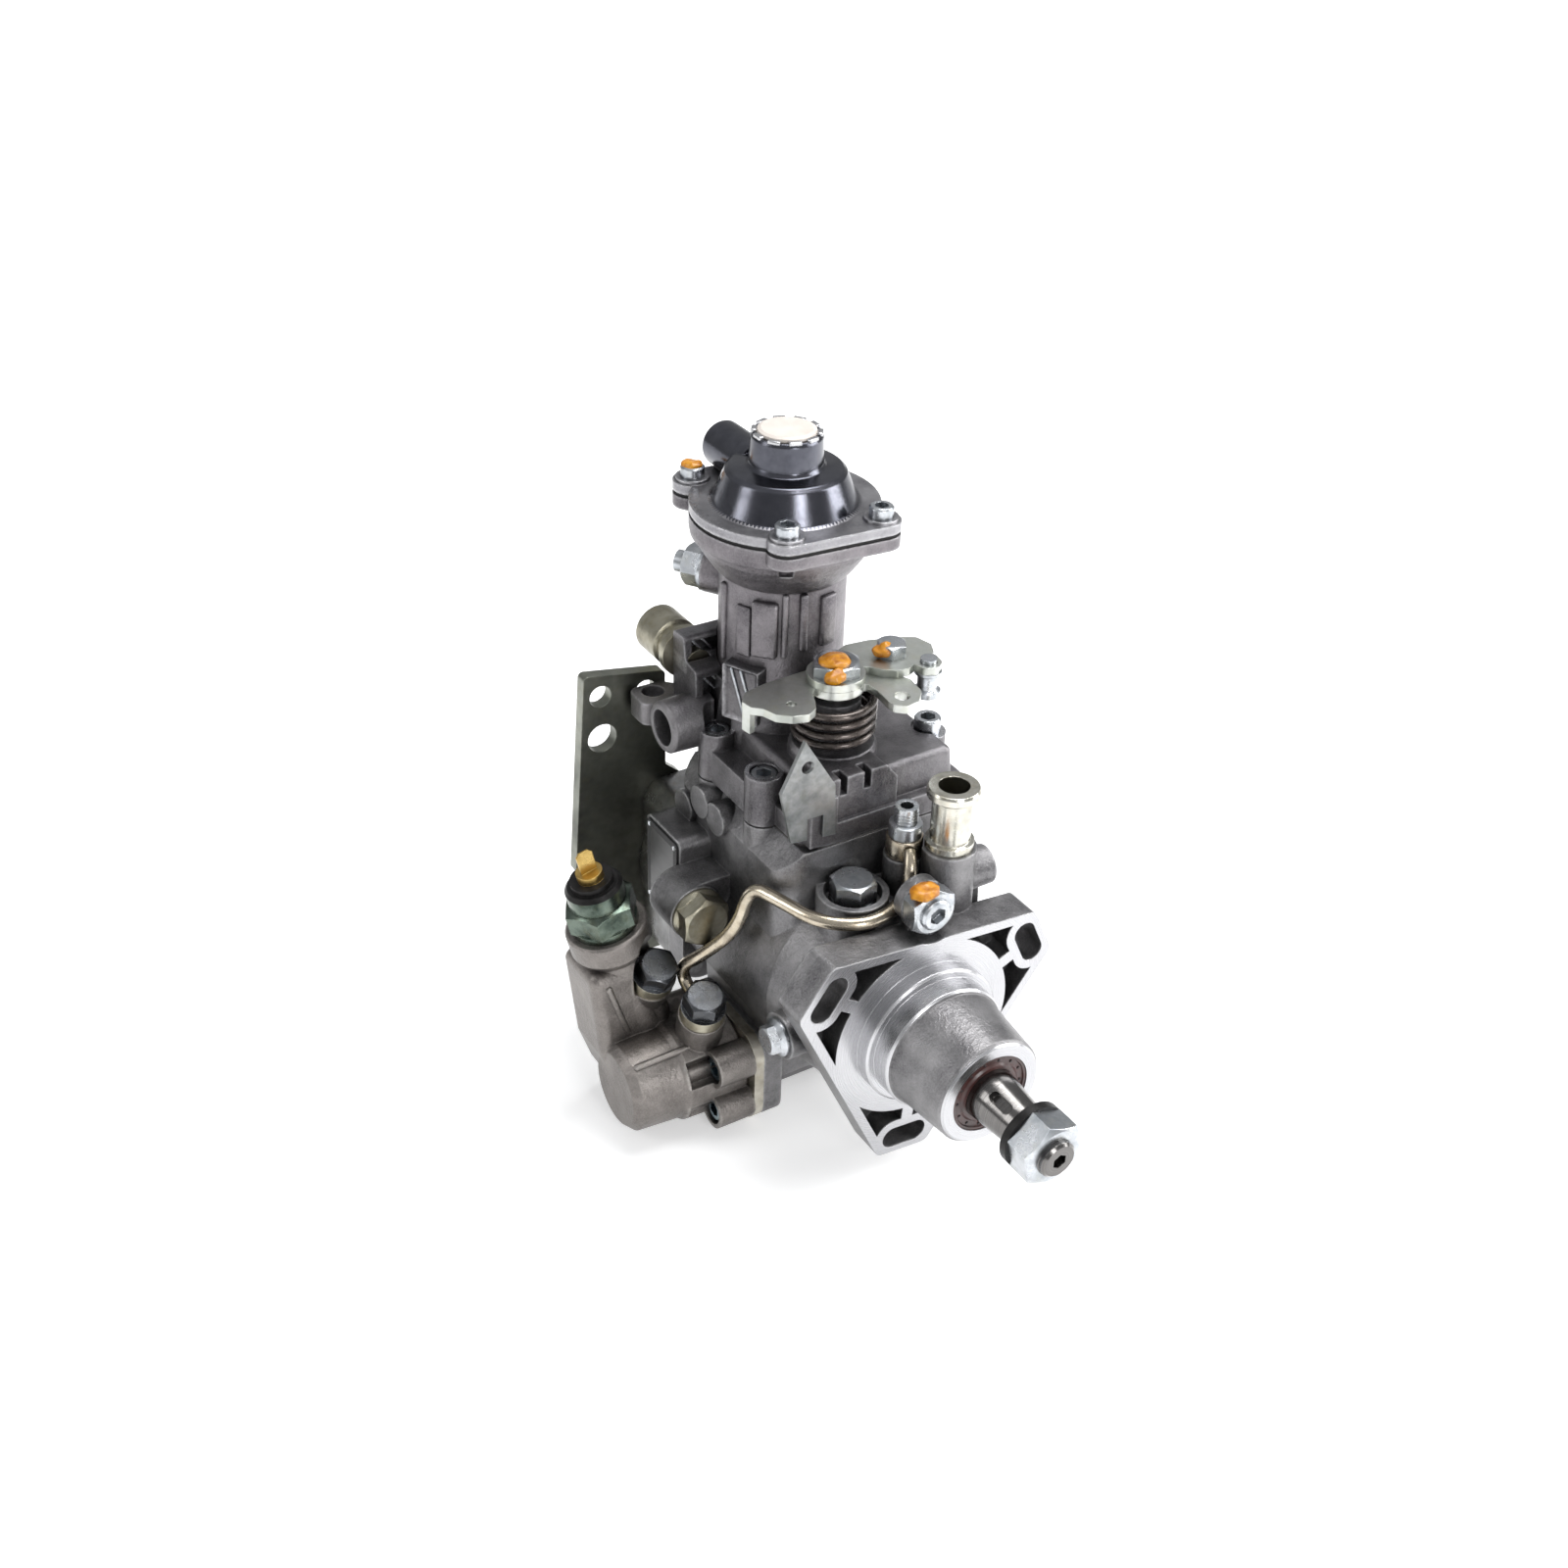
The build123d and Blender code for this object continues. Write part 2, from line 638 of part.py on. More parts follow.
def feed_vanes():
    tip = RING_BORE - RING_OFFSET - GAP
    root = ROTOR_R - 3.0 - 6.0
    blade = Pos((tip + root) / 2.0, 0) * Rectangle(tip - root, VANE_T)
    shape = Part()
    for i in range(VANE_COUNT):
        turned = Rot(0, 0, 360.0 / VANE_COUNT * i) * blade
        shape += slab_y(turned, CHAMBER_START + GAP, CHAMBER_START + RING_T - GAP)
    return shape


def feed_pump_rotor():
    return Compound(children=[*rotor_disc().solids(), *feed_vanes().solids()])


def drive_gear():
    mesh_turn = math.degrees(math.atan2(GOV_Z, GOV_X))
    face = Rot(0, 0, mesh_turn) * gear_face(DRIVE_TEETH)
    face -= Circle(SHAFT_R + SLIP)
    return slab_y(face, GEAR_START, GEAR_START + GEAR_T)


def cross_disc():
    start = CLAW_START + CLAW_DISC_T + 0.2
    face = Circle(CLAW_R - 0.2) - Circle(4.0)
    for turn in (0, 90, 180, 270):
        face -= Rot(0, 0, turn) * Pos(CLAW_R - 2.0, 0) * Rectangle(12.4, CLAW_W + 0.2)
    return slab_y(face, start, start + CLAW_L)


def cam_plate():
    start = CLAW_START + CLAW_DISC_T + 0.2 + CLAW_L + 0.2
    cam_face = ROLLER_Y + ROLLER_R + GAP + CAM_LOBE
    body = lathe_y(
        (0, start), (CLAW_R, start), (CLAW_R, start + 3.5), (CLAW_R - 1.0, cam_face),
        (CAM_R, cam_face), (CAM_R, cam_face + CAM_T), (0, cam_face + CAM_T),
    )
    for sign in (-1, 1):
        body += claw(sign, start - CLAW_L, CLAW_L + 0.5, 90.0)
    ring = lathe_y(
        (CLAW_R + 2.4, cam_face - CAM_LOBE), (CAM_R, cam_face - CAM_LOBE),
        (CAM_R, cam_face + 0.5), (CLAW_R + 2.4, cam_face + 0.5),
    )
    sector = outline((6, 0), (40, -13), (40, 13))
    lobes = Sketch()
    for i in range(ROLLER_COUNT):
        lobes += Rot(0, 0, 45.0 + 90.0 * i) * sector
    return body + (ring & slab_y(lobes, cam_face - 5.0, cam_face + 1.0))


def plunger():
    start = ROLLER_Y + ROLLER_R + GAP + CAM_LOBE + CAM_T
    return lathe_y(
        (0, start), (FOOT_R, start), (FOOT_R, start + FOOT_T), (PLUNGER_R, start + FOOT_T),
        (PLUNGER_R, PLUNGER_END - 1.0), (PLUNGER_R - 1.0, PLUNGER_END), (0, PLUNGER_END),
    )


def roller_ring():
    ring = Circle(BORE_R - RUN) - Circle(RING_IN_R)
    body = slab_y(ring, ROLLER_RING_START, ROLLER_RING_END)
    rollers = Part()
    reach = (RING_IN_R + 0.5, BORE_R - 1.2)
    for i in range(ROLLER_COUNT):
        turn = Rot(0, -(45.0 + 90.0 * i), 0)
        pocket = Pos((RING_IN_R + BORE_R) / 2.0, ROLLER_Y, 0) * Box(
            BORE_R - RING_IN_R + 4.0, 2.0 * ROLLER_R + 1.0, 2.0 * ROLLER_R + 0.1
        )
        body -= turn * pocket
        rollers += turn * rod_x(ROLLER_R, reach[0], reach[1], ROLLER_Y, 0.0)
    pin_y = ROLLER_RING_END - 7.0
    pin = rod_z(TIMING_PIN_R, TIMING_Z - 2.0, -RING_IN_R - 1.0, 0.0, pin_y)
    body += pin
    return Compound(children=[*body.solids(), *rollers.solids()])


def plunger_springs():
    start = ROLLER_Y + ROLLER_R + GAP + CAM_LOBE + CAM_T + FOOT_T + GAP
    bar = SlotOverall(2.0 * (PLUNGER_SPRING_X + PLUNGER_SPRING_R + 1.6), 13.0)
    bar -= Circle(PLUNGER_R + GAP)
    bridge = slab_y(bar, start, start + SPRING_BRIDGE_T)
    base = start + SPRING_BRIDGE_T
    length = BODY_REAR - HEAD_NOSE_T - base - PLUNGER_WIRE
    shapes = list(bridge.solids())
    for sign in (-1, 1):
        spring = coil(PLUNGER_SPRING_R, PLUNGER_WIRE, 3.5, length, 4)
        place = (sign * PLUNGER_SPRING_X, base + PLUNGER_WIRE / 2.0, 0)
        shapes.extend(aim(place, (0, 1, 0), spring).solids())
    return Compound(children=shapes)


def governor_shaft():
    start = GEAR_START - 1.0 - GOV_SEAT_L + GAP
    return lathe_y(
        (0, start), (GOV_SHAFT_R - 0.8, start), (GOV_SHAFT_R, start + 0.8),
        (GOV_SHAFT_R, SLEEVE_END - 6.0), (0, SLEEVE_END - 6.0),
    ).moved(Location((GOV_X, 0, GOV_Z)))


def housing_plugs():
    upright = hex_bolt(DISH_PLUG_AF, DISH_PLUG_H, 5.0, 5.0, collar=DISH_PLUG_R)
    across = hex_bolt(SIDE_PLUG_AF, SIDE_PLUG_H, 5.0, 11.0, collar=SIDE_PLUG_R)
    shapes = list((Pos(DISH_X, DISH_Y, DISH_FLOOR) * Rot(0, 0, 14) * upright).solids())
    place = (SIDE_PLUG_X, SIDE_PLUG_Y, SIDE_PLUG_Z)
    shapes.extend(aim(place, (0, -1, 0), across).solids())
    return Compound(children=shapes)


def weight_turns():
    return [45.0 + 360.0 / WEIGHT_COUNT * i for i in range(WEIGHT_COUNT)]


def flyweight_carrier():
    mesh_turn = math.degrees(math.atan2(-GOV_Z, -GOV_X)) + 180.0 / GOV_TEETH
    gear = slab_y(Rot(0, 0, mesh_turn) * gear_face(GOV_TEETH), GEAR_START, GEAR_START + GEAR_T)
    plate_start = GEAR_START + GEAR_T
    body = gear + rod_y(CARRIER_R, plate_start - 0.5, plate_start + CARRIER_T)
    ear_y0 = plate_start + CARRIER_T - 0.5
    pivot_y = weight_pivot_y()
    for turn in weight_turns():
        for sign in (-1, 1):
            z0 = sign * (WEIGHT_W / 2.0 + 0.4)
            z1 = z0 + sign * EAR_T
            ear = Pos(WEIGHT_PIVOT_R, (ear_y0 + pivot_y + 2.2) / 2.0, (z0 + z1) / 2.0) * Box(
                4.4, pivot_y + 2.2 - ear_y0, EAR_T
            )
            body += Rot(0, -turn, 0) * ear
        half = WEIGHT_W / 2.0 + 0.4 + EAR_T - 0.2
        body += Rot(0, -turn, 0) * rod_z(PIVOT_PIN_R, -half, half, WEIGHT_PIVOT_R, pivot_y)
    body -= rod_y(GOV_SHAFT_R + RUN, 0, 200)
    return body.moved(Location((GOV_X, 0, GOV_Z)))


def weight_pivot_y():
    return GEAR_START + GEAR_T + CARRIER_T + 2.8


def flyweights():
    y = weight_pivot_y()
    inner = SLEEVE_FLANGE_R + 0.9
    toe = 7.0
    profile = outline(
        (toe, y + 0.6), (inner - 0.2, y - 1.8), (CARRIER_R - 1.2, y - 1.8), (CARRIER_R - 1.2, y + WEIGHT_L),
        (inner, y + WEIGHT_L), (inner, y + 2.2), (toe, y + 2.2),
    )
    weight = extrude(Pos(0, 0, -WEIGHT_W / 2.0) * profile, amount=WEIGHT_W)
    weight -= rod_z(PIVOT_PIN_R + RUN, -WEIGHT_W, WEIGHT_W, WEIGHT_PIVOT_R, y)
    return [
        (Rot(0, -turn, 0) * weight).moved(Location((GOV_X, 0, GOV_Z))) for turn in weight_turns()
    ]


def governor_sleeve():
    start = weight_pivot_y() + 2.2 + GAP
    inner = GOV_SHAFT_R + RUN
    return lathe_y(
        (inner, start), (SLEEVE_FLANGE_R, start), (SLEEVE_FLANGE_R, start + SLEEVE_FLANGE_T),
        (SLEEVE_R, start + SLEEVE_FLANGE_T), (SLEEVE_R, SLEEVE_END - 3.0),
        (2.0, SLEEVE_END), (0, SLEEVE_END), (0, SLEEVE_END - 3.0), (inner, SLEEVE_END - 3.0),
    ).moved(Location((GOV_X, 0, GOV_Z)))


def governor_lever():
    y0 = SLEEVE_END + GAP
    blade = outline(
        (y0, GOV_Z - 8.0), (y0 + LEVER_T, GOV_Z - 8.5), (LEVER_PIVOT_Y + 4.5, LEVER_PIVOT_Z + 3.0),
        (LEVER_PIVOT_Y + 4.5, LEVER_PIVOT_Z - 8.0), (LEVER_PIVOT_Y - 1.5, LEVER_PIVOT_Z - 8.0),
        (LEVER_PIVOT_Y - 4.5, LEVER_PIVOT_Z - 1.0),
    )
    body = slab_x(blade, GOV_X - 6.0, 6.0)
    body += slab_x(
        outline(
            (y0, GOV_Z - 8.2), (y0 + LEVER_T, GOV_Z - 8.7), (y0 + LEVER_T, GOV_Z + 9.0), (y0, GOV_Z + 9.0)
        ),
        GOV_X - 6.0, GOV_X + 6.0,
    )
    arm = outline((y0, GOV_Z + 5.0), (y0 + LEVER_T, GOV_Z + 5.0), (y0 + LEVER_T, 67.0), (y0, 67.0))
    body += slab_x(arm, GOV_X + 5.0, GOV_X + 28.0) & slab_y(
        outline((-6, 51), (1, 51), (19, 60), (19, 67), (10, 67), (-6, 58), round_by=1.5), 0, 200
    )
    body += rod_x(
        LEVER_PIN_R, BODY_LEFT + 1.6, BODY_RIGHT - WALL - 0.6, LEVER_PIVOT_Y, LEVER_PIVOT_Z
    )
    body += rod_z(LEVER_BALL_R - 0.8, COLLAR_R - 2.0, LEVER_PIVOT_Z - 7.0, 0.0, COLLAR_Y)
    body += Pos(0, COLLAR_Y, COLLAR_R - 2.4) * Sphere(LEVER_BALL_R)
    return body


def control_collar():
    ring = Circle(COLLAR_R) - Circle(PLUNGER_R + RUN)
    body = slab_y(ring, COLLAR_Y - COLLAR_W / 2.0, COLLAR_Y + COLLAR_W / 2.0)
    return body - rod_z(LEVER_BALL_R + 0.1, COLLAR_R - 6.2, COLLAR_R + 2.0, 0.0, COLLAR_Y)


def governor_spring():
    y0 = THROTTLE_Y + 6.0
    y1 = SLEEVE_END + GAP
    wire = 1.6
    spring = coil(3.4, wire, 5.0, y1 - y0 - wire - 0.2, 4)
    return aim((14.5, y0 + wire / 2.0 + 0.1, 63.0), (0, 1, 0), spring)


def timing_piston():
    body = rod_x(PISTON_R, -PISTON_L / 2.0 - 2.0, PISTON_L / 2.0 - 2.0, TIMING_Y, TIMING_Z)
    pin_y = ROLLER_RING_END - 7.0
    body -= rod_z(TIMING_PIN_R + 2.6, TIMING_Z - 5.0, TIMING_Z + 20.0, 0.0, pin_y)
    body -= rod_x(PISTON_R - 4.0, PISTON_L / 2.0 - 8.0, PISTON_L, TIMING_Y, TIMING_Z)
    return body


def timing_spring():
    x0 = PISTON_L / 2.0 - 8.0
    wire = 2.4
    spring = coil(TIMING_SPRING_R, wire, 4.0, TIMING_END - x0 - wire - 0.1, 4)
    return aim((x0 + wire / 2.0 + 0.05, TIMING_Y, TIMING_Z), (1, 0, 0), spring)


def timing_cover():
    face = timing_outline()
    for y, z in TIMING_BOLTS:
        face -= Pos(y, z) * Circle(3.0 + SLIP)
    plate = slab_x(face, TIMING_END, TIMING_END + TIMING_COVER_T)
    start = TIMING_END + TIMING_COVER_T
    return plate + lathe_x(
        TIMING_Y, TIMING_Z,
        (start - 1.0, 0), (start - 1.0, 11.0), (start + 3.0, 11.0), (start + 4.5, 9.5), (start + 4.5, 0),
    )


def timing_screws():
    shapes = []
    screw = cap_screw(5.0, 6.0, 3.0, 16.0)
    for y, z in TIMING_BOLTS:
        shapes.extend(aim((TIMING_END + TIMING_COVER_T, y, z), (1, 0, 0), screw).solids())
    for y, z in TIMING_BOLTS:
        shapes.extend(aim((COLD_START - 8.0, y, z), (-1, 0, 0), screw).solids())
    return Compound(children=shapes)


def cold_start_spacer():
    face = timing_outline() - Pos(TIMING_Y, TIMING_Z) * Circle(PISTON_R + 2.0)
    for y, z in TIMING_BOLTS:
        face -= Pos(y, z) * Circle(3.0 + SLIP)
    return slab_x(face, COLD_START, -TIMING_END)


def cold_start_housing():
    start = COLD_START
    drum = lathe_x(
        TIMING_Y, TIMING_Z,
        (start, 0), (start, COLD_R - 0.8), (start - 0.8, COLD_R), (start - 24.0, COLD_R - 0.6),
        (start - 26.0, COLD_R - 2.0), (COLD_LEFT + 3.0, COLD_R - 3.0), (COLD_LEFT, COLD_R - 6.0), (COLD_LEFT, 0),
    )
    for y, z in TIMING_BOLTS:
        drum += rod_x(COLD_LUG_R, start - 15.0, start, y, z)
    lean = Vector(COLD_ARM_TOP) - Vector(COLD_FOOT)
    reach = lean.length
    arm = aim(
        COLD_FOOT, lean,
        lathe_z(
            0, 0,
            (0, -8.0), (13.0, -8.0), (12.6, reach - 13.0), (15.5, reach - 9.0),
            (15.5, reach - 0.8), (14.7, reach), (0, reach),
        ),
    )
    wall = outline(
        (-93.5, 4), (COLD_LEFT - 1.0, -36), (-83, -54), (-60, -54), (-60, -24), (-66.5, 4), round_by=4.0
    )
    box = slab_y(wall, 76.0, 99.0)
    box = fillet(box.edges().group_by(Axis.Y)[0], 4.5)
    body = drum + arm + box
    for base, tip in cold_bosses():
        rise = Vector(tip) - Vector(base)
        body += aim(base, rise, rod_z(COLD_BOSS_R, 0, rise.length))
    body -= rod_x(PISTON_R + 2.0, start - 20.0, start + 1.0, TIMING_Y, TIMING_Z)
    for y, z in TIMING_BOLTS:
        body -= rod_x(3.0 + SLIP, start - 20.0, start + 1.0, y, z)
        body -= rod_x(5.7, start - 24.0, start - 8.0, y, z)
    body -= aim(COLD_ARM_TOP, lean, rod_z(9.0 + SLIP, -7.0, 1.0))
    for base, tip in cold_bosses():
        body -= aim(tip, Vector(tip) - Vector(base), rod_z(COLD_BOLT_R + SLIP, -4.6, 1.0))
        body -= aim(tip, Vector(tip) - Vector(base), rod_z(COLD_BOSS_R + 0.6, 0.0, 24.0))
    return body


def cold_bosses():
    return [
        ((-68.5, 88.0, -22.0), (-67.5, 80.0, -7.5)),
        ((-55.0, 66.0, -30.0), (-56.0, 61.0, -15.0)),
    ]


def cold_start_bolts():
    shapes = []
    for base, tip in cold_bosses():
        direction = Vector(tip) - Vector(base)
        bolt = hex_bolt(COLD_BOLT_AF, 7.0, COLD_BOLT_R, COLD_EYE_T + 4.0)
        ring = rod_z(COLD_EYE_R, 0, COLD_EYE_T) - rod_z(COLD_BOLT_R + SLIP, -1, COLD_EYE_T + 1)
        shapes.extend(aim(tip, direction, ring).solids())
        shapes.extend(aim(tip, direction, Pos(0, 0, COLD_EYE_T) * bolt).solids())
    return Compound(children=shapes)


def cold_start_solenoid():
    lean = Vector(COLD_ARM_TOP) - Vector(COLD_FOOT)
    body = rod_z(9.0, -6.0, 0.5) + lathe_z(0, 0, (0, 0), (12.6, 0), (12.6, 3.0), (0, 3.0))
    body += Pos(0, 0, 2.5) * hex_prism(24.0, 9.5)
    body += lathe_z(
        0, 0, (0, 11.5), (10.8, 11.5), (10.8, 18.5), (9.6, 20.0), (8.0, 20.0), (8.0, 22.5), (0, 22.5)
    )
    shapes = list(aim(COLD_ARM_TOP, lean, body).solids())
    return Compound(children=[*shapes, *terminal_blade().solids()])


def terminal_blade():
    lean = Vector(COLD_ARM_TOP) - Vector(COLD_FOOT)
    blade = outline((-3.2, 25.5), (3.2, 25.5), (3.2, 33.5), (1.8, 35.0), (-1.8, 35.0), (-3.2, 33.5))
    plate = extrude(Plane.XZ * blade, amount=0.8)
    body = plate + lathe_z(0, 0, (0, 22.5), (5.0, 22.5), (5.0, 25.7), (0, 25.7))
    return aim(COLD_ARM_TOP, lean, body)


def distributor_head():
    face = rear_outline()
    body = slab_y(face, BODY_REAR, HEAD_REAR)
    body += rod_y(BORE_R - SLIP, BODY_REAR - HEAD_NOSE_T, BODY_REAR + 1.0)
    hub = rod_y(HEAD_HUB_R, HEAD_REAR - 1.0, HEAD_REAR + HEAD_HUB_T)
    body += chamfer(hub.edges().group_by(Axis.Y)[-1], 2.0)
    body += rod_z(SHUTOFF_R + 4.0, 20.0, 44.0, 0.0, SHUTOFF_Y)
    body -= rod_y(PLUNGER_R + RUN, 100.0, PLUNGER_END + 3.0)
    body -= rod_z(6.0 + SLIP, 30.0, 50.0, 0.0, SHUTOFF_Y)
    for x, z in REAR_BOLTS:
        body -= rod_y(3.0 + SLIP, BODY_REAR - 1.0, HEAD_REAR + 1.0, x, z)
    for x, z in valve_places():
        body -= rod_y(5.0 + SLIP, HEAD_REAR + 2.0, HEAD_REAR + HEAD_HUB_T + 1.0, x, z)
    plug_hole = rod_y(7.0 + SLIP, HEAD_REAR + 4.0, HEAD_REAR + HEAD_HUB_T + 1.0)
    return body - plug_hole


def valve_places():
    places = []
    for i in range(VALVE_COUNT):
        angle = math.radians(45.0 + 360.0 / VALVE_COUNT * i)
        places.append((VALVE_R * math.cos(angle), VALVE_R * math.sin(angle)))
    return places


def head_fittings():
    seat = HEAD_REAR + HEAD_HUB_T
    body = rod_z(5.0, -9.0, 0.5) + hex_prism(15.0, 9.0)
    body += lathe_z(
        0, 0, (0, 8.0), (6.4, 8.0), (6.4, 11.0), (6.0, 12.0), (6.0, VALVE_L - 1.0), (5.0, VALVE_L), (0, VALVE_L)
    )
    body -= lathe_z(0, 0, (0, VALVE_L - 14.0), (1.0, VALVE_L - 14.0), (1.0, VALVE_L - 3.6),
                    (3.6, VALVE_L + 0.2), (0, VALVE_L + 0.2))
    plug = hex_bolt(17.0, 7.0, 7.0, 7.0, collar=10.5)
    shapes = list(aim((0, seat, 0), (0, 1, 0), plug).solids())
    for x, z in valve_places():
        shapes.extend(aim((x, seat, z), (0, 1, 0), body).solids())
    return Compound(children=shapes)


def shutoff_solenoid():
    body = rod_z(6.0, 32.0, 44.5) + Pos(0, 0, 44.0) * hex_prism(20.0, 7.0)
    body += lathe_z(
        0, 0, (0, 50.5), (SHUTOFF_R, 50.5), (SHUTOFF_R, 63.0), (SHUTOFF_R - 1.5, 64.5),
        (4.0, 64.5), (4.0, 66.5), (2.4, 66.5), (2.4, 72.0), (0, 72.0),
    )
    return Pos(0, SHUTOFF_Y, 0) * body


def head_bolts():
    shapes = []
    for x, z in REAR_BOLTS:
        seat = HEAD_REAR + (BRACKET_T if x < 0 else 0.0)
        bolt = hex_bolt(10.0, 5.5, 3.0, seat - BODY_REAR + 10.0, collar=6.6)
        shapes.extend(aim((x, seat, z), (0, 1, 0), bolt).solids())
    return Compound(children=shapes)


def rear_bracket():
    face = outline(
        (-26, -44), (-44, -44), (-44, -18), (-69, 6), (-63, 92), (-29, 86), (-29, 44), (-22, 38),
        (-22, 31), (-31, 20), (-33, 0), (-31, -20), (-22, -31), (-22, -40),
        round_by=2.0,
    )
    face -= Pos(-56.4, 82.0) * Circle(4.5)
    face -= Pos(-56.1, 63.8) * Circle(6.0)
    face -= Pos(-37.4, 79.4) * Circle(4.5)
    for x, z in REAR_BOLTS:
        face -= Pos(x, z) * Circle(3.0 + SLIP)
    return slab_y(face, HEAD_REAR, HEAD_REAR + BRACKET_T)


def governor_cover():
    lip = slab_z(cover_outline(COVER_REAR), BODY_TOP + GASKET_T, BODY_TOP + COVER_LIP)
    upper = extrude(Pos(0, 0, BODY_TOP + COVER_LIP - 1.0) * cover_outline(COVER_REAR, 4.0),
                    amount=COVER_TOP - BODY_TOP - COVER_LIP + 1.0, taper=6.0)
    upper = fillet(upper.edges().group_by(Axis.Z)[-1], 2.5)
    body = lip + upper
    seat = lathe_z(
        BOOST_X, BOOST_Y, (0, COVER_INNER), (28.0, COVER_INNER), (25.5, BOOST_BASE), (0, BOOST_BASE)
    )
    body += seat - rod_z(THROTTLE_SPRING_R + 3.0, 86.5, 200.0, THROTTLE_X, THROTTLE_Y)
    body += lathe_z(
        THROTTLE_X, THROTTLE_Y,
        (0, COVER_INNER), (17.0, COVER_INNER), (16.0, 84.5), (15.0, 86.5), (9.5, 87.0), (9.5, 104.0), (0, 104.0),
    )
    for x, y in COVER_SCREWS:
        body += rod_z(COVER_BOSS_R, BODY_TOP + GASKET_T, COVER_BOSS_TOP, x, y)
    body += cover_bosses()
    body += cover_tower()
    saddle = outline((-32.5, 64), (-32.5, 105), (-18, 105), (-18, 64))
    body += slab_z(saddle, BODY_TOP + GASKET_T, COVER_BOSS_TOP - COVER_SINK)
    body += slab_y(
        outline((-25, 61.5), (-14, 61.5), (-14, 80), (-25, 80)), COVER_FRONT, COVER_FRONT + 10.0
    )
    body -= slab_z(cover_outline(COVER_REAR, WALL + 4.0), 0.0, COVER_INNER) - cover_pillars()
    body -= governor_relief()
    body -= rod_z(THROTTLE_R + RUN, 0, 200, THROTTLE_X, THROTTLE_Y)
    body -= rod_z(BOOST_PIN_R + RUN, 0, 200, BOOST_X, BOOST_Y)
    body -= rod_x(7.0, -60.0, -36.0, TUBE_Y, TUBE_Z)
    body -= rod_z(4.3, 0.0, 200.0, -38.0, 131.0)
    for x, y in COVER_SCREWS:
        body -= rod_z(COVER_SCREW_R + SLIP, 0, 200, x, y)
        body -= rod_z(6.0 if x > 0 else 5.2, cover_seat(x), 200, x, y)
    tail = full_load_place()
    return body - aim(tail, (0, 1, 0), rod_z(5.0 + SLIP, -10.0, 1.0))


def cover_tower():
    face = outline((-17, 61.5), (12, 61.5), (12, 80), (7, TOWER_TOP), (-17, TOWER_TOP), round_by=1.5)
    tower = slab_y(face, COVER_FRONT + 1.5, THROTTLE_Y - 8.0)
    for x in (-12.5, -2.5):
        tower -= slab_y(outline((x, 79), (x + 3, 79), (x + 3, 90), (x, 90)), COVER_FRONT, COVER_FRONT + 7.0)
    return tower


def governor_relief():
    step = GEAR_START + GEAR_T + 1.5
    gear_r = MODULE * (GOV_TEETH / 2.0 + 0.85) + 0.8
    relief = rod_y(gear_r, GEAR_START - 1.0, step, GOV_X, GOV_Z)
    return relief + rod_y(CARRIER_R + 0.8, step - 0.5, 90.0, GOV_X, GOV_Z)


def cover_pillars():
    shape = Part()
    for x, y in COVER_SCREWS:
        shape += rod_z(COVER_BOSS_R, 0.0, COVER_INNER + 1.0, x, y)
    return shape


def full_load_place():
    return (-26.5, 126.0, 99.0)


def cover_bosses():
    x, y, z = full_load_place()
    block = slab_x(
        outline((109, 74), (y, 74), (y, 110), (118, 110), (117, 101), (109, 100)), x - 5.5, -12.0
    )
    block = fillet(block.edges().filter_by(Axis.X), 1.5)
    block -= slab_y(outline((x - 2.5, 86), (-14, 86), (-14, 97), (x - 2.5, 97)), 100, 113)
    block -= slab_y(outline((x - 2.5, 102.5), (-14, 102.5), (-14, 108), (x - 2.5, 108)), 110, 121)
    block -= rod_z(BOOST_NECK_R + GAP, BOOST_BASE, 200.0, BOOST_X, BOOST_Y)
    tube = lathe_x(
        TUBE_Y, TUBE_Z, (-45.0, 0), (-45.0, 9.0), (-44.0, 10.0), (-26.0, 10.5), (-26.0, 0)
    )
    ear = slab_z(
        outline((-46, 124), (-46, 136.5), (-32, 136.5), (-16, 120), (-30, 114), round_by=4.0), 74.0, 83.0
    )
    return block + tube + ear


def cover_gasket():
    face = cover_outline(BODY_REAR) - cover_outline(BODY_REAR, WALL + 4.0)
    for x, y in COVER_SCREWS:
        face += Pos(x, y) * Circle(COVER_BOSS_R - 0.5)
    for x, y in COVER_SCREWS:
        face -= Pos(x, y) * Circle(COVER_SCREW_R + SLIP)
    return slab_z(face, BODY_TOP, BODY_TOP + GASKET_T) - governor_relief()


def cover_seat(x):
    return COVER_BOSS_TOP if x > 0 else COVER_BOSS_TOP - COVER_SINK


def cover_screws():
    shapes = []
    for x, y in COVER_SCREWS:
        screw = cap_screw(5.0, 6.0, COVER_SCREW_R, cover_seat(x) - BODY_TOP + 11.0)
        shapes.extend((Pos(x, y, cover_seat(x)) * screw).solids())
    return Compound(children=shapes)


def boost_flange(grow=0.0):
    face = Circle(BOOST_BELL_R + grow)
    face = Pos(BOOST_X, BOOST_Y) * face
    for (x1, y1), (x2, y2) in (BOOST_SCREWS[:2], BOOST_SCREWS[2:]):
        span = math.hypot(x2 - x1, y2 - y1) + 2.0 * (BOOST_LUG_R + grow)
        turn = math.degrees(math.atan2(y2 - y1, x2 - x1))
        bar = SlotOverall(span, 2.0 * (BOOST_LUG_R + grow))
        face += Pos((x1 + x2) / 2.0, (y1 + y2) / 2.0) * Rot(0, 0, turn) * bar
    for x, y in BOOST_SCREWS:
        face -= Pos(x, y) * Circle(2.5 + SLIP)
    return face


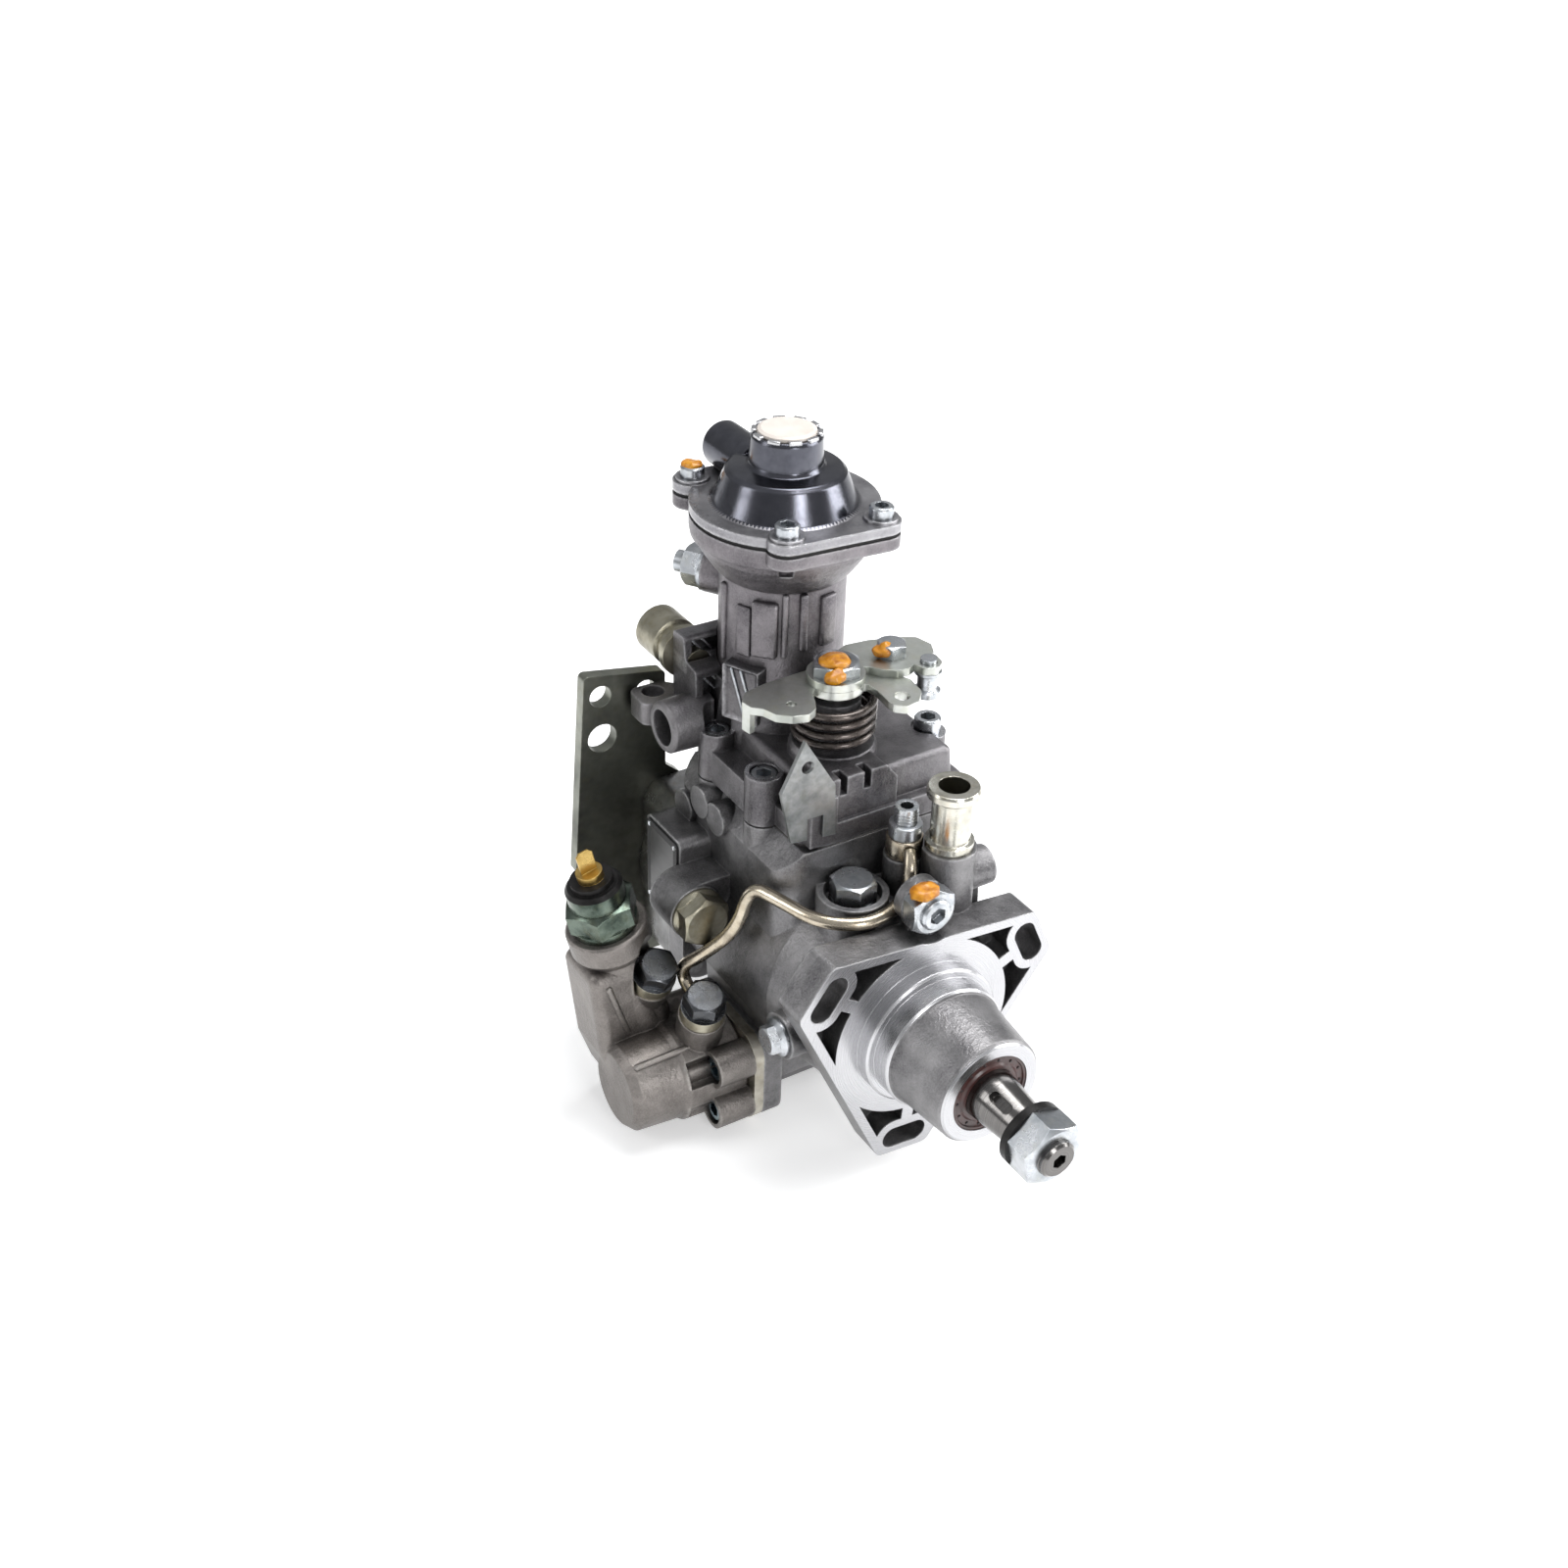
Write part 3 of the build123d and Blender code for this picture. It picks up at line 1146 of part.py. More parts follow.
def boost_body():
    body = lathe_z(
        BOOST_X, BOOST_Y,
        (0, BOOST_BASE), (BOOST_NECK_R, BOOST_BASE), (BOOST_NECK_R, 137.0), (BOOST_NECK_R + 1.4, 138.0),
        (BOOST_NECK_R + 3.4, 140.5), (BOOST_BELL_R - 4.6, 144.5), (BOOST_BELL_R - 2.6, 148.0),
        (BOOST_BELL_R - 1.6, 150.6), (BOOST_BELL_R - 0.4, 151.0), (BOOST_BELL_R, BOOST_FLANGE_Z), (0, BOOST_FLANGE_Z),
    )
    body += slab_z(boost_flange(), BOOST_FLANGE_Z, BOOST_PART_Z)
    for x, y in BOOST_SCREWS:
        body -= rod_z(2.5 + SLIP, BOOST_FLANGE_Z - 6.0, 200, x, y)
    place, direction = boost_plug_place()
    body += aim(place, direction, rod_z(9.0, -16.0, 0.0))
    body -= rod_z(BOOST_CAVITY_R, 138.0, BOOST_PART_Z + 1.0, BOOST_X, BOOST_Y)
    body -= rod_z(BOOST_PIN_R + RUN, 0, 200, BOOST_X, BOOST_Y)
    return body - aim(place, direction, rod_z(4.0 + SLIP, -10.0, 1.0))


def boost_plug_place():
    angle = math.radians(124.0)
    reach = BOOST_NECK_R + 6.0
    place = (BOOST_X + reach * math.cos(angle), BOOST_Y + reach * math.sin(angle), 129.0)
    return place, (math.cos(angle), math.sin(angle), 0.0)


def boost_plug():
    place, direction = boost_plug_place()
    body = hex_bolt(14.0, 9.0, 4.0, 9.0, collar=9.0) + rod_z(4.2, 8.0, 13.0)
    return aim(place, direction, body)


def boost_diaphragm():
    face = boost_flange(-0.6) - Pos(BOOST_X, BOOST_Y) * Circle(BOOST_PIN_R + SLIP)
    return slab_z(face, BOOST_PART_Z, BOOST_PART_Z + DIAPHRAGM_T)


def boost_cover():
    base = BOOST_PART_Z + DIAPHRAGM_T
    top = base + 3.5
    body = slab_z(boost_flange(), base, top)
    body += lathe_z(
        BOOST_X, BOOST_Y,
        (0, base), (DOME_R + 1.5, top), (DOME_R, top + 0.6), (DOME_R - 4.4, 174.0),
        (DOME_R - 5.8, 175.2), (DOME_NECK_R + 1.4, 176.2), (DOME_NECK_R + 0.4, 177.4), (DOME_NECK_R, DOME_TOP - 1.2),
        (DOME_NECK_R - 0.8, DOME_TOP), (0, DOME_TOP),
    )
    port = rod_y(8.6, BOOST_Y + 14.0, BOOST_Y + 40.0, BOOST_X - 3.0, 170.0)
    port = fillet(port.edges().group_by(Axis.Y)[-1], 2.0)
    body += port
    for x, y in BOOST_SCREWS:
        body += rod_z(BOOST_LUG_R - 1.0, base, top + 1.2, x, y)
    body -= lathe_z(
        BOOST_X, BOOST_Y,
        (0, base - 1.0), (DOME_R - 5.0, base - 1.0), (DOME_R - 5.0, base + 4.0), (DOME_R - 8.0, 171.0),
        (8.5, 172.0), (0, 172.0),
    )
    body -= rod_y(4.5, BOOST_Y + 16.0, BOOST_Y + 41.0, BOOST_X - 3.0, 170.0)
    for x, y in BOOST_SCREWS:
        body -= rod_z(2.5 + SLIP, 0, 200, x, y)
    return body - rod_z(CAP_R + SLIP, DOME_TOP - 4.0, DOME_TOP + 1.0, BOOST_X, BOOST_Y)


def boost_cap():
    return lathe_z(
        BOOST_X, BOOST_Y,
        (0, DOME_TOP - 4.0), (CAP_R, DOME_TOP - 4.0), (CAP_R, DOME_TOP), (CAP_R + 1.0, DOME_TOP),
        (CAP_R + 0.8, DOME_TOP + 1.0), (CAP_R - 0.4, DOME_TOP + 1.6), (0, DOME_TOP + 1.6),
    )


def boost_cover_screws():
    shapes = []
    seat = BOOST_PART_Z + DIAPHRAGM_T + 4.7
    for x, y in BOOST_SCREWS:
        screw = cap_screw(4.4, 4.0, 2.5, seat - BOOST_FLANGE_Z - 0.6)
        shapes.extend((Pos(x, y, seat) * screw).solids())
    return Compound(children=shapes)


def boost_pin():
    top = BOOST_PART_Z + DIAPHRAGM_T
    return lathe_z(
        BOOST_X, BOOST_Y,
        (0, 78.0), (BOOST_PIN_R - 1.5, 78.0), (BOOST_PIN_R, 80.0), (BOOST_PIN_R, BOOST_PART_Z - 2.0),
        (17.0, BOOST_PART_Z - 2.0), (17.0, BOOST_PART_Z), (BOOST_PIN_R, BOOST_PART_Z),
        (BOOST_PIN_R, top), (17.0, top), (17.0, top + 2.0), (5.0, top + 2.0), (5.0, top + 5.0), (0, top + 5.0),
    )


def boost_spring():
    wire = 2.4
    base = 138.0
    spring = coil(11.0, wire, 3.5, BOOST_PART_Z - 2.0 - base - wire - 0.1, 4)
    return Pos(BOOST_X, BOOST_Y, base + wire / 2.0 + 0.05) * spring


def full_load_cap():
    body = lathe_z(
        0, 0,
        (0, -9.0), (5.0, -9.0), (5.0, 0.0), (10.0, 0.0), (10.0, 3.0), (8.2, 3.6), (8.2, 8.0),
        (9.4, 8.6), (9.4, 22.0), (8.4, 23.0), (0, 23.0),
    )
    return aim(full_load_place(), (0, 1, 0), body)


def pressure_valve():
    body = rod_z(7.0, -VALVE_SHANK, 0.5) + hex_prism(17.0, 7.5)
    body += lathe_z(0, 0, (0, 7.0), (6.0, 7.0), (6.0, 8.4), (5.2, 9.2), (0, 9.2))
    body -= extrude(Pos(0, 0, 6.4) * hexagon(6.0), amount=4.0)
    return aim((VALVE_BOSS_X, VALVE_SEAT_Y, VALVE_BOSS_Z), (0, -1, 0), body)


def inlet_stub():
    body = lathe_z(
        INLET_X, INLET_Y,
        (0, INLET_BASE - 10.0), (6.0, INLET_BASE - 10.0), (6.0, INLET_BASE), (8.8, INLET_BASE),
        (8.8, INLET_BASE + 3.0), (7.3, INLET_BASE + 3.6), (7.3, INLET_TOP - 5.0), (9.6, INLET_TOP - 3.4),
        (9.6, INLET_TOP - 1.0), (9.0, INLET_TOP), (0, INLET_TOP),
    )
    return body - rod_z(5.6, INLET_BASE - 8.0, INLET_TOP + 1.0, INLET_X, INLET_Y)


def overflow_stud():
    body = lathe_z(
        OVERFLOW_X, OVERFLOW_Y,
        (0, OVERFLOW_BASE - 7.0), (4.0, OVERFLOW_BASE - 7.0), (4.0, OVERFLOW_BASE),
        (4.0, OVERFLOW_BASE + 8.0), (6.0, OVERFLOW_BASE + 8.0), (6.0, OVERFLOW_BASE + 13.0),
        (4.2, OVERFLOW_BASE + 13.6), (4.2, OVERFLOW_BASE + 20.0), (0, OVERFLOW_BASE + 20.0),
    )
    return body - rod_z(2.4, OVERFLOW_BASE, OVERFLOW_BASE + 21.0, OVERFLOW_X, OVERFLOW_Y)


def bleed_pipe():
    eye = lathe_z(
        OVERFLOW_X, OVERFLOW_Y,
        (4.0 + SLIP, OVERFLOW_BASE), (EYE_R, OVERFLOW_BASE), (EYE_R, OVERFLOW_BASE + 8.0 - SLIP),
        (4.0 + SLIP, OVERFLOW_BASE + 8.0 - SLIP),
    )
    base, tip = cold_bosses()[1]
    lean = (Vector(tip) - Vector(base)).normalized()
    ring_mid = Vector(tip) + lean * (COLD_EYE_T / 2.0)
    back = (Vector(0, 1, 0) - lean * lean.Y).normalized()
    level = DISH_TOP - 2.0
    front_y = DISH_Y - DISH_RIM - PIPE_R - 0.6
    left_x = BODY_LEFT - PIPE_R
    path = FilletPolyline(
        (OVERFLOW_X - 2.0, OVERFLOW_Y - EYE_R + 0.6, OVERFLOW_BASE + 4.6),
        (OVERFLOW_X - 4.5, OVERFLOW_Y - 11.5, OVERFLOW_BASE + 1.0),
        (OVERFLOW_X - 6.0, OVERFLOW_Y - 11.0, level),
        (DISH_X + 3.0, front_y, level),
        (DISH_X - 8.0, front_y + 0.1, level),
        (DISH_X - 19.5, DISH_Y - 7.0, level),
        (left_x + 1.2, COVER_FRONT + 1.0, level),
        (left_x - 3.0, COVER_FRONT + 14.0, level),
        (left_x - 6.0, COVER_FRONT + 17.5, level - 21.0),
        (-53.0, 68.0, 6.0),
        (-57.5, 73.5, 0.0),
        tuple(ring_mid + back * (COLD_EYE_R + 6.0)),
        tuple(ring_mid + back * (COLD_EYE_R + 0.3)),
        radius=2.0 * PIPE_R,
    )
    section = Plane(origin=path @ 0, z_dir=path % 0) * Circle(PIPE_R)
    tube = sweep(section, path=path)
    return eye + tube


def lock_bolt():
    bolt = hex_bolt(10.0, 6.0, 3.0, 7.0, collar=7.4)
    return aim((LOCK_SEAT, LOCK_Y, LOCK_Z), (-1, 0, 0), bolt)


def name_plate():
    return slab_x(outline((93.5, 2.5), (116.5, 2.5), (116.5, 38.5), (93.5, 38.5), round_by=1.5), -48.8, -48.0)


def seal_tag():
    face = outline(
        (-34.0, 68.0), (-27.5, 67.3), (-27.5, 76.0), (-21.0, 76.0), (-21.0, 66.6), (-15.6, 66.0),
        (-16.7, 87.0), (-29.6, 108.0), (-38.7, 89.4),
    )
    face -= Pos(-28.4, 97.4) * Circle(2.4)
    return slab_y(face, COVER_FRONT - TAG_T, COVER_FRONT)


def throttle_shaft():
    body = rod_z(THROTTLE_R, COVER_INNER - 2.0, THROTTLE_TOP, THROTTLE_X, THROTTLE_Y)
    arm = Pos(THROTTLE_X, THROTTLE_Y) * Circle(7.0)
    arm += outline((0, THROTTLE_Y - 5.0), (16.5, THROTTLE_Y - 1.0), (18.0, THROTTLE_Y + 6.5), (0, THROTTLE_Y + 6.5))
    body += slab_z(arm, COVER_INNER - 3.2, COVER_INNER - 0.5)
    return body + rod_z(1.8, 60.5, COVER_INNER - 1.0, 14.5, THROTTLE_Y + 4.2)


def throttle_lever_lower():
    face = Pos(THROTTLE_X, THROTTLE_Y) * Circle(10.5)
    face += outline(
        (-37, 68.3), (-33, 73), (-24, 75), (-6, 76), (4, 73), (3, 60), (-9.3, 64), (-13, 60.5), (-14.8, 56),
        (-17, 52), (-21.4, 49.5), (-26.9, 51.3), (-31.3, 55), (-33.2, 60.5), (-36.3, 63.4), round_by=1.2,
    )
    face += outline(
        (-3, 63), (4, 72), (16.3, 65), (23, 53), (21.7, 44.2), (16.6, 38.8), (11, 37.9), (7.8, 40.7),
        (7.5, 44), (8.4, 52.7), (7.6, 57.5), round_by=1.8,
    )
    face -= Pos(13.6, 44.6) * Circle(2.8)
    face -= Pos(-23.0, 58.5) * Circle(1.8)
    face -= Pos(THROTTLE_X, THROTTLE_Y) * Circle(THROTTLE_R + SLIP)
    body = slab_z(face, LEVER_LOW_Z, LEVER_LOW_Z + LEVER_PLATE)
    tab = outline((-36.9, 68.0), (-36.3, 63.8), (-33.9, 64.2), (-34.5, 68.2))
    return body + slab_z(tab, LEVER_LOW_Z - 8.0, LEVER_LOW_Z + 1.0)


def throttle_lever_upper():
    face = Pos(THROTTLE_X, THROTTLE_Y) * Circle(10.5)
    face += outline(
        (-5, 72), (13.5, 80.5), (22.5, 79.5), (34.3, 75.8), (39.3, 73), (41, 66), (38, 60), (31, 60.5),
        (27.6, 57), (23.9, 55.2), (19.3, 55.8), (15, 58.8), (12, 63), (9.5, 64.5), (2, 60), round_by=1.5,
    )
    face += outline((27, 57.5), (30, 63), (38, 60), (37, 53.5), (33, 50.5), (28.5, 52.5), round_by=2.2)
    face -= Pos(THROTTLE_X, THROTTLE_Y) * Circle(THROTTLE_R + SLIP)
    face -= Pos(LEVER_BOLT_X, LEVER_BOLT_Y) * Circle(3.0 + SLIP)
    face -= Pos(SPOOL_X, SPOOL_Y) * Circle(3.0 + SLIP)
    return slab_z(face, LEVER_LOW_Z + LEVER_PLATE, LEVER_UP_Z + 0.5)


def throttle_fasteners():
    base = LEVER_UP_Z + 0.5
    nut = hex_prism(16.0, 4.6) - rod_z(THROTTLE_R + SLIP, -1, 10)
    shapes = list((Pos(THROTTLE_X, THROTTLE_Y, base) * nut).solids())
    bolt = hex_bolt(10.0, 5.0, 3.0, 9.0)
    shapes.extend((Pos(LEVER_BOLT_X, LEVER_BOLT_Y, base) * bolt).solids())
    low = LEVER_LOW_Z + LEVER_PLATE
    spool = lathe_z(
        SPOOL_X, SPOOL_Y,
        (0, low - 10.0), (5.0, low - 10.0), (5.0, low - 8.0), (3.6, low - 7.0), (3.6, low - 2.0),
        (5.0, low - 1.2), (5.0, low), (3.0, low), (3.0, base + 1.6), (0, base + 1.6),
    )
    shapes.extend(spool.solids())
    return Compound(children=shapes)


def throttle_spring():
    wire = 2.8
    base = 87.0
    spring = coil(THROTTLE_SPRING_R, wire, 4.5, LEVER_LOW_Z - base - wire - 0.1, 6)
    return Pos(THROTTLE_X, THROTTLE_Y, base + wire / 2.0 + 0.05) * spring


def write(name, shape):
    export_step(shape, os.path.join("parts", name + ".step"))


def main():
    os.makedirs("parts", exist_ok=True)
    makers = [
        housing, shaft_seal, shaft_bush, eccentric_ring, feed_pump_cover, governor_shaft,
        housing_plugs, plunger_springs, distributor_head, head_fittings,
        shutoff_solenoid, rear_bracket, head_bolts, governor_cover, cover_gasket, cover_screws,
        boost_body, boost_cover, boost_cap, boost_cover_screws, boost_diaphragm, boost_spring,
        boost_plug, full_load_cap, pressure_valve, inlet_stub, overflow_stud, bleed_pipe,
        cold_start_housing, cold_start_spacer, timing_screws, cold_start_bolts,
        cold_start_solenoid, timing_cover, timing_spring, lock_bolt,
        name_plate, seal_tag, throttle_spring, governor_spring, drive_shaft, shaft_nut,
        shaft_washer, feed_pump_rotor, drive_gear, cross_disc, cam_plate, plunger,
        flyweight_carrier, governor_sleeve, governor_lever, control_collar, timing_piston,
        roller_ring, throttle_shaft, throttle_lever_lower, throttle_lever_upper,
        throttle_fasteners, boost_pin,
    ]
    for maker in makers:
        write(maker.__name__, maker())
    weights = flyweights()
    write("flyweights", Compound(children=weights))


main()
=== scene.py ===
"""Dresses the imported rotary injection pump: finishes, small fittings, studio and camera."""

import json
import logging
import math
from contextlib import contextmanager
from dataclasses import dataclass, field
from enum import Enum
from typing import Callable, Iterable, Iterator, Sequence, Union

import bpy
import numpy as np
from mathutils import Matrix, Vector

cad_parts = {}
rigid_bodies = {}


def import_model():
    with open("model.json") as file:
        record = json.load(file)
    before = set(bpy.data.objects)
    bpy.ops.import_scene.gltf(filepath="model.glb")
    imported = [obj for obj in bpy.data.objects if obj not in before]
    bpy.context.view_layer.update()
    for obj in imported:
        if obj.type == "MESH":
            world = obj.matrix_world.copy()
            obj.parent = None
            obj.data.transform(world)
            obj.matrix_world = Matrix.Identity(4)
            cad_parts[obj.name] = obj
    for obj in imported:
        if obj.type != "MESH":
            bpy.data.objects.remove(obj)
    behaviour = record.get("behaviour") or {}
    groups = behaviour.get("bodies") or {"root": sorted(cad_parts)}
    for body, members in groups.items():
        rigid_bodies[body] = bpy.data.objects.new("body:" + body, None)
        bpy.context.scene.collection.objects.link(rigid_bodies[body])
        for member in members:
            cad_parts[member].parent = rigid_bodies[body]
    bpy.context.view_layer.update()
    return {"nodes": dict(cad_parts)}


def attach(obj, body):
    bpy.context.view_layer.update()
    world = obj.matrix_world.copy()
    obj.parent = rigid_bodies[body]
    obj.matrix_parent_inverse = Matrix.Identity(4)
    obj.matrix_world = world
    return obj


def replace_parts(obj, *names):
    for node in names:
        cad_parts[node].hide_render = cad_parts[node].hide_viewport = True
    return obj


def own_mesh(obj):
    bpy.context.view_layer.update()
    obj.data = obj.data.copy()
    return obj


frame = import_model()
LOG = logging.getLogger("pump")
MM = 0.001
NODES = frame["nodes"]
ORIGIN = (0.0, 0.0, 0.0)
FACING = 0.9  # least part of a normal along the axis that its face looks along
COIL_STEPS = 44  # steps in one turn of a spring
THREAD_STEPS = 36  # steps in one turn of a thread
RIDGE_SHARE = 0.46  # half width of a thread's ridge as a share of its pitch
DAB_ROUGH = 0.0016  # unevenness of the tamper paint in metres

Number = Union[int, float]
Key = Union[int, str]
Colour = tuple[float, float, float]
Point = tuple[float, float, float]
Line = tuple[Point, Point]
Value = Union["Sock", Number, Sequence[float]]
FaceTest = Callable[[np.ndarray, np.ndarray], np.ndarray]
Piece = bpy.types.Object


class Sock:
    """One output socket of a shader node, with arithmetic."""

    def __init__(self, graph: "Graph", socket: bpy.types.NodeSocket) -> None:
        """Keeps the socket and the graph that owns it."""
        self.graph = graph
        self.socket = socket

    def apply(self, operation: str, other: Value = 0.0) -> "Sock":
        """Adds one Math node.

        Args:
            operation: Name of the node's operation.
            other: Second value, where the operation has one.

        Returns:
            The result.
        """
        return self.graph.node("ShaderNodeMath", {"operation": operation}, {0: self, 1: other})

    def __add__(self, other: Value) -> "Sock":
        """Sum."""
        return self.apply("ADD", other)

    def __sub__(self, other: Value) -> "Sock":
        """Difference."""
        return self.apply("SUBTRACT", other)

    def __mul__(self, other: Value) -> "Sock":
        """Product."""
        return self.apply("MULTIPLY", other)

    def __gt__(self, other: Value) -> "Sock":
        """1 where this is greater, otherwise 0."""
        return self.apply("GREATER_THAN", other)

    def __lt__(self, other: Value) -> "Sock":
        """1 where this is less, otherwise 0."""
        return self.apply("LESS_THAN", other)


class Graph:
    """The nodes of a material or a world, under construction."""

    def __init__(self, tree: bpy.types.NodeTree) -> None:
        """Keeps the tree and empties it."""
        self.tree = tree
        self.tree.nodes.clear()

    def _feed(self, socket: bpy.types.NodeSocket, value: Value) -> None:
        """Links a socket or sets its constant.

        Args:
            socket: The input.
            value: A socket or a constant.
        """
        if isinstance(value, Sock):
            self.tree.links.new(value.socket, socket)
            return
        if isinstance(value, (int, float)):
            socket.default_value = value
            return
        numbers = list(value)
        if socket.type == "RGBA" and len(numbers) == 3:
            numbers.append(1.0)
        socket.default_value = numbers

    def node(
        self,
        kind: str,
        settings: dict[str, object] | None = None,
        inputs: dict[Key, Value] | None = None,
        out: Key = 0,
    ) -> Sock:
        """Adds any node.

        Args:
            kind: Blender's type name of the node.
            settings: Properties set first; "stops" fills a colour ramp.
            inputs: Values or sockets by input name or index.
            out: Output to return.

        Returns:
            The chosen output.
        """
        made = self.tree.nodes.new(kind)
        for key, value in (settings or {}).items():
            if key == "stops":
                ramp = made.color_ramp
                while len(ramp.elements) < len(value):
                    ramp.elements.new(0.5)
                for element, (position, colour) in zip(ramp.elements, value):
                    element.position = position
                    element.color = (*colour, 1.0)
            else:
                setattr(made, key, value)
        for key, value in (inputs or {}).items():
            self._feed(made.inputs[key], value)
        return Sock(self, made.outputs[out])

    def ray(self, kind: str) -> Sock:
        """1 for rays of a kind, such as Camera or Glossy, otherwise 0."""
        return self.node("ShaderNodeLightPath", out=f"Is {kind} Ray")


class Shader(Graph):
    """A material under construction."""

    def __init__(self, name: str) -> None:
        """Starts an empty material with a Principled BSDF.

        Args:
            name: Name of the material.
        """
        self.material = bpy.data.materials.new(name)
        self.material.use_nodes = True
        super().__init__(self.material.node_tree)
        self.bsdf = self.tree.nodes.new("ShaderNodeBsdfPrincipled")
        output = self.tree.nodes.new("ShaderNodeOutputMaterial")
        self.tree.links.new(self.bsdf.outputs[0], output.inputs[0])
        self._place: Sock | None = None

    def place(self) -> Sock:
        """Object coordinates in metres."""
        if self._place is None:
            self._place = self.node("ShaderNodeTexCoord", out="Object")
        return self._place

    def axis(self, name: str) -> Sock:
        """One object coordinate in millimetres.

        Args:
            name: X, Y or Z.

        Returns:
            The coordinate.
        """
        split = self.node("ShaderNodeSeparateXYZ", inputs={0: self.place()}, out=name)
        return split * (1.0 / MM)

    def noise(self, scale: float, detail: float = 3.0, rough: float = 0.55,
              stretch: Colour = (1.0, 1.0, 1.0)) -> Sock:
        """Noise on object coordinates.

        Args:
            scale: Cells per metre.
            detail: Octaves.
            rough: Weight of the finer octaves.
            stretch: Scale along each axis.

        Returns:
            The noise value, around 0.5.
        """
        where: Sock = self.place()
        if stretch != (1.0, 1.0, 1.0):
            where = self.node("ShaderNodeMapping", {}, {"Vector": where, "Scale": stretch})
        return self.node(
            "ShaderNodeTexNoise", {},
            {"Vector": where, "Scale": scale, "Detail": detail, "Roughness": rough},
        )

    def ramp(self, value: Value, *stops: tuple[float, Colour]) -> Sock:
        """Colour ramp.

        Args:
            value: Factor.
            stops: Pairs of position and colour.

        Returns:
            The colour.
        """
        return self.node("ShaderNodeValToRGB", {"stops": stops}, {0: value})

    def level(self, value: Value, low: float, high: float, to_low: float = 0.0,
              to_high: float = 1.0) -> Sock:
        """Clamped map of a value from one range to another.

        Args:
            value: Value to map.
            low: Start of the range.
            high: End of the range.
            to_low: Result at the start.
            to_high: Result at the end.

        Returns:
            The mapped value.
        """
        return self.node(
            "ShaderNodeMapRange", {"clamp": True},
            {0: value, 1: low, 2: high, 3: to_low, 4: to_high},
        )

    def mix(self, factor: Value, a: Value, b: Value) -> Sock:
        """Blends two colours.

        Args:
            factor: 0 gives a, 1 gives b.
            a: First colour.
            b: Second colour.

        Returns:
            The blended colour.
        """
        return self.node("ShaderNodeMix", {"data_type": "RGBA"}, {0: factor, 6: a, 7: b}, 2)

    def crevice(self, reach: float, inside: bool = False) -> Sock:
        """How open the surface is, 0 in deep corners and 1 in the open.

        Args:
            reach: Distance in metres.
            inside: Looks into the material, which finds outer edges.

        Returns:
            The openness.
        """
        return self.node(
            "ShaderNodeAmbientOcclusion",
            {"samples": 6, "inside": inside, "only_local": inside},
            {"Distance": reach}, out="AO",
        )

    def surface(self, height: Value, depth: float, edge: float) -> None:
        """Sets the normal from rounded edges and a height.

        Args:
            height: Height value.
            depth: Bump distance in metres.
            edge: Radius of the rounded edges in metres, 0 for none.
        """
        inputs: dict[Key, Value] = {"Height": height, "Distance": depth, "Strength": 1.0}
        if edge > 0.0:
            inputs["Normal"] = self.node("ShaderNodeBevel", {"samples": 4}, {"Radius": edge})
        self._feed(self.bsdf.inputs["Normal"], self.node("ShaderNodeBump", {}, inputs))

    def finish(self, **sockets: Value) -> bpy.types.Material:
        """Feeds the Principled BSDF.

        Args:
            sockets: Socket names with underscores for spaces.

        Returns:
            The finished material.
        """
        for name, value in sockets.items():
            self._feed(self.bsdf.inputs[name.replace("_", " ")], value)
        return self.material


@dataclass(frozen=True)
class CastFinish:
    """Blasted cast aluminium with fine grain, worn and painted-highlight edges, and painted shade
    in corners.
    """

    name: str
    light: Colour
    dark: Colour
    # colour of the painted shade in corners and recesses
    shade_colour: Colour
    # colour of the outer edges: rubbed wear and a painted highlight
    rub_and_highlight: Colour
    rough: float = 0.38
    metal: float = 0.86
    grain: float = 1500.0
    depth: float = 0.00024
    edge: float = 0.0009
    blotch: float = 55.0

    def make(self) -> bpy.types.Material:
        """Builds the material.

        Returns:
            The material.
        """
        s = Shader(self.name)
        blotch = s.noise(self.blotch, 4.0, 0.6)
        fine = s.noise(self.grain, 2.0, 0.7)
        pits = s.noise(self.grain * 0.35, 3.0, 0.6)
        base = s.ramp(blotch, (0.34, self.dark), (0.66, self.light))
        speckle = s.level(fine, 0.35, 0.68)
        base = s.mix(speckle * 0.3, base, tuple(min(1.0, c * 1.4) for c in self.light))
        # Lighter outer edges: partly rubbed wear, partly a painted highlight where edges catch the
        # light.
        worn_and_highlit = s.level(s.crevice(0.0016, True), 0.42, 0.8, 1.0, 0.0)
        worn_and_highlit = worn_and_highlit * s.level(pits, 0.36, 0.6, 0.35, 1.0)
        base = s.mix(worn_and_highlit * 0.7, base, self.rub_and_highlight)
        # Painted shade: corners and recesses darken towards the near-black corner colour, in noisy
        # patches.
        painted_shade = s.level(s.crevice(0.010), 0.24, 0.88, 1.0, 0.0)
        shade_patches = s.level(s.noise(170.0, 5.0, 0.65), 0.42, 0.72)
        base = s.mix(painted_shade * (shade_patches * 0.38 + 0.42), base, self.shade_colour)
        s.surface(fine * 0.55 + pits * 0.9, self.depth, self.edge)
        rough = s.level(blotch, 0.3, 0.7, self.rough - 0.05, self.rough + 0.08)
        rough = rough + painted_shade * 0.14 - worn_and_highlit * 0.08
        return s.finish(Base_Color=base, Roughness=rough, Metallic=self.metal)


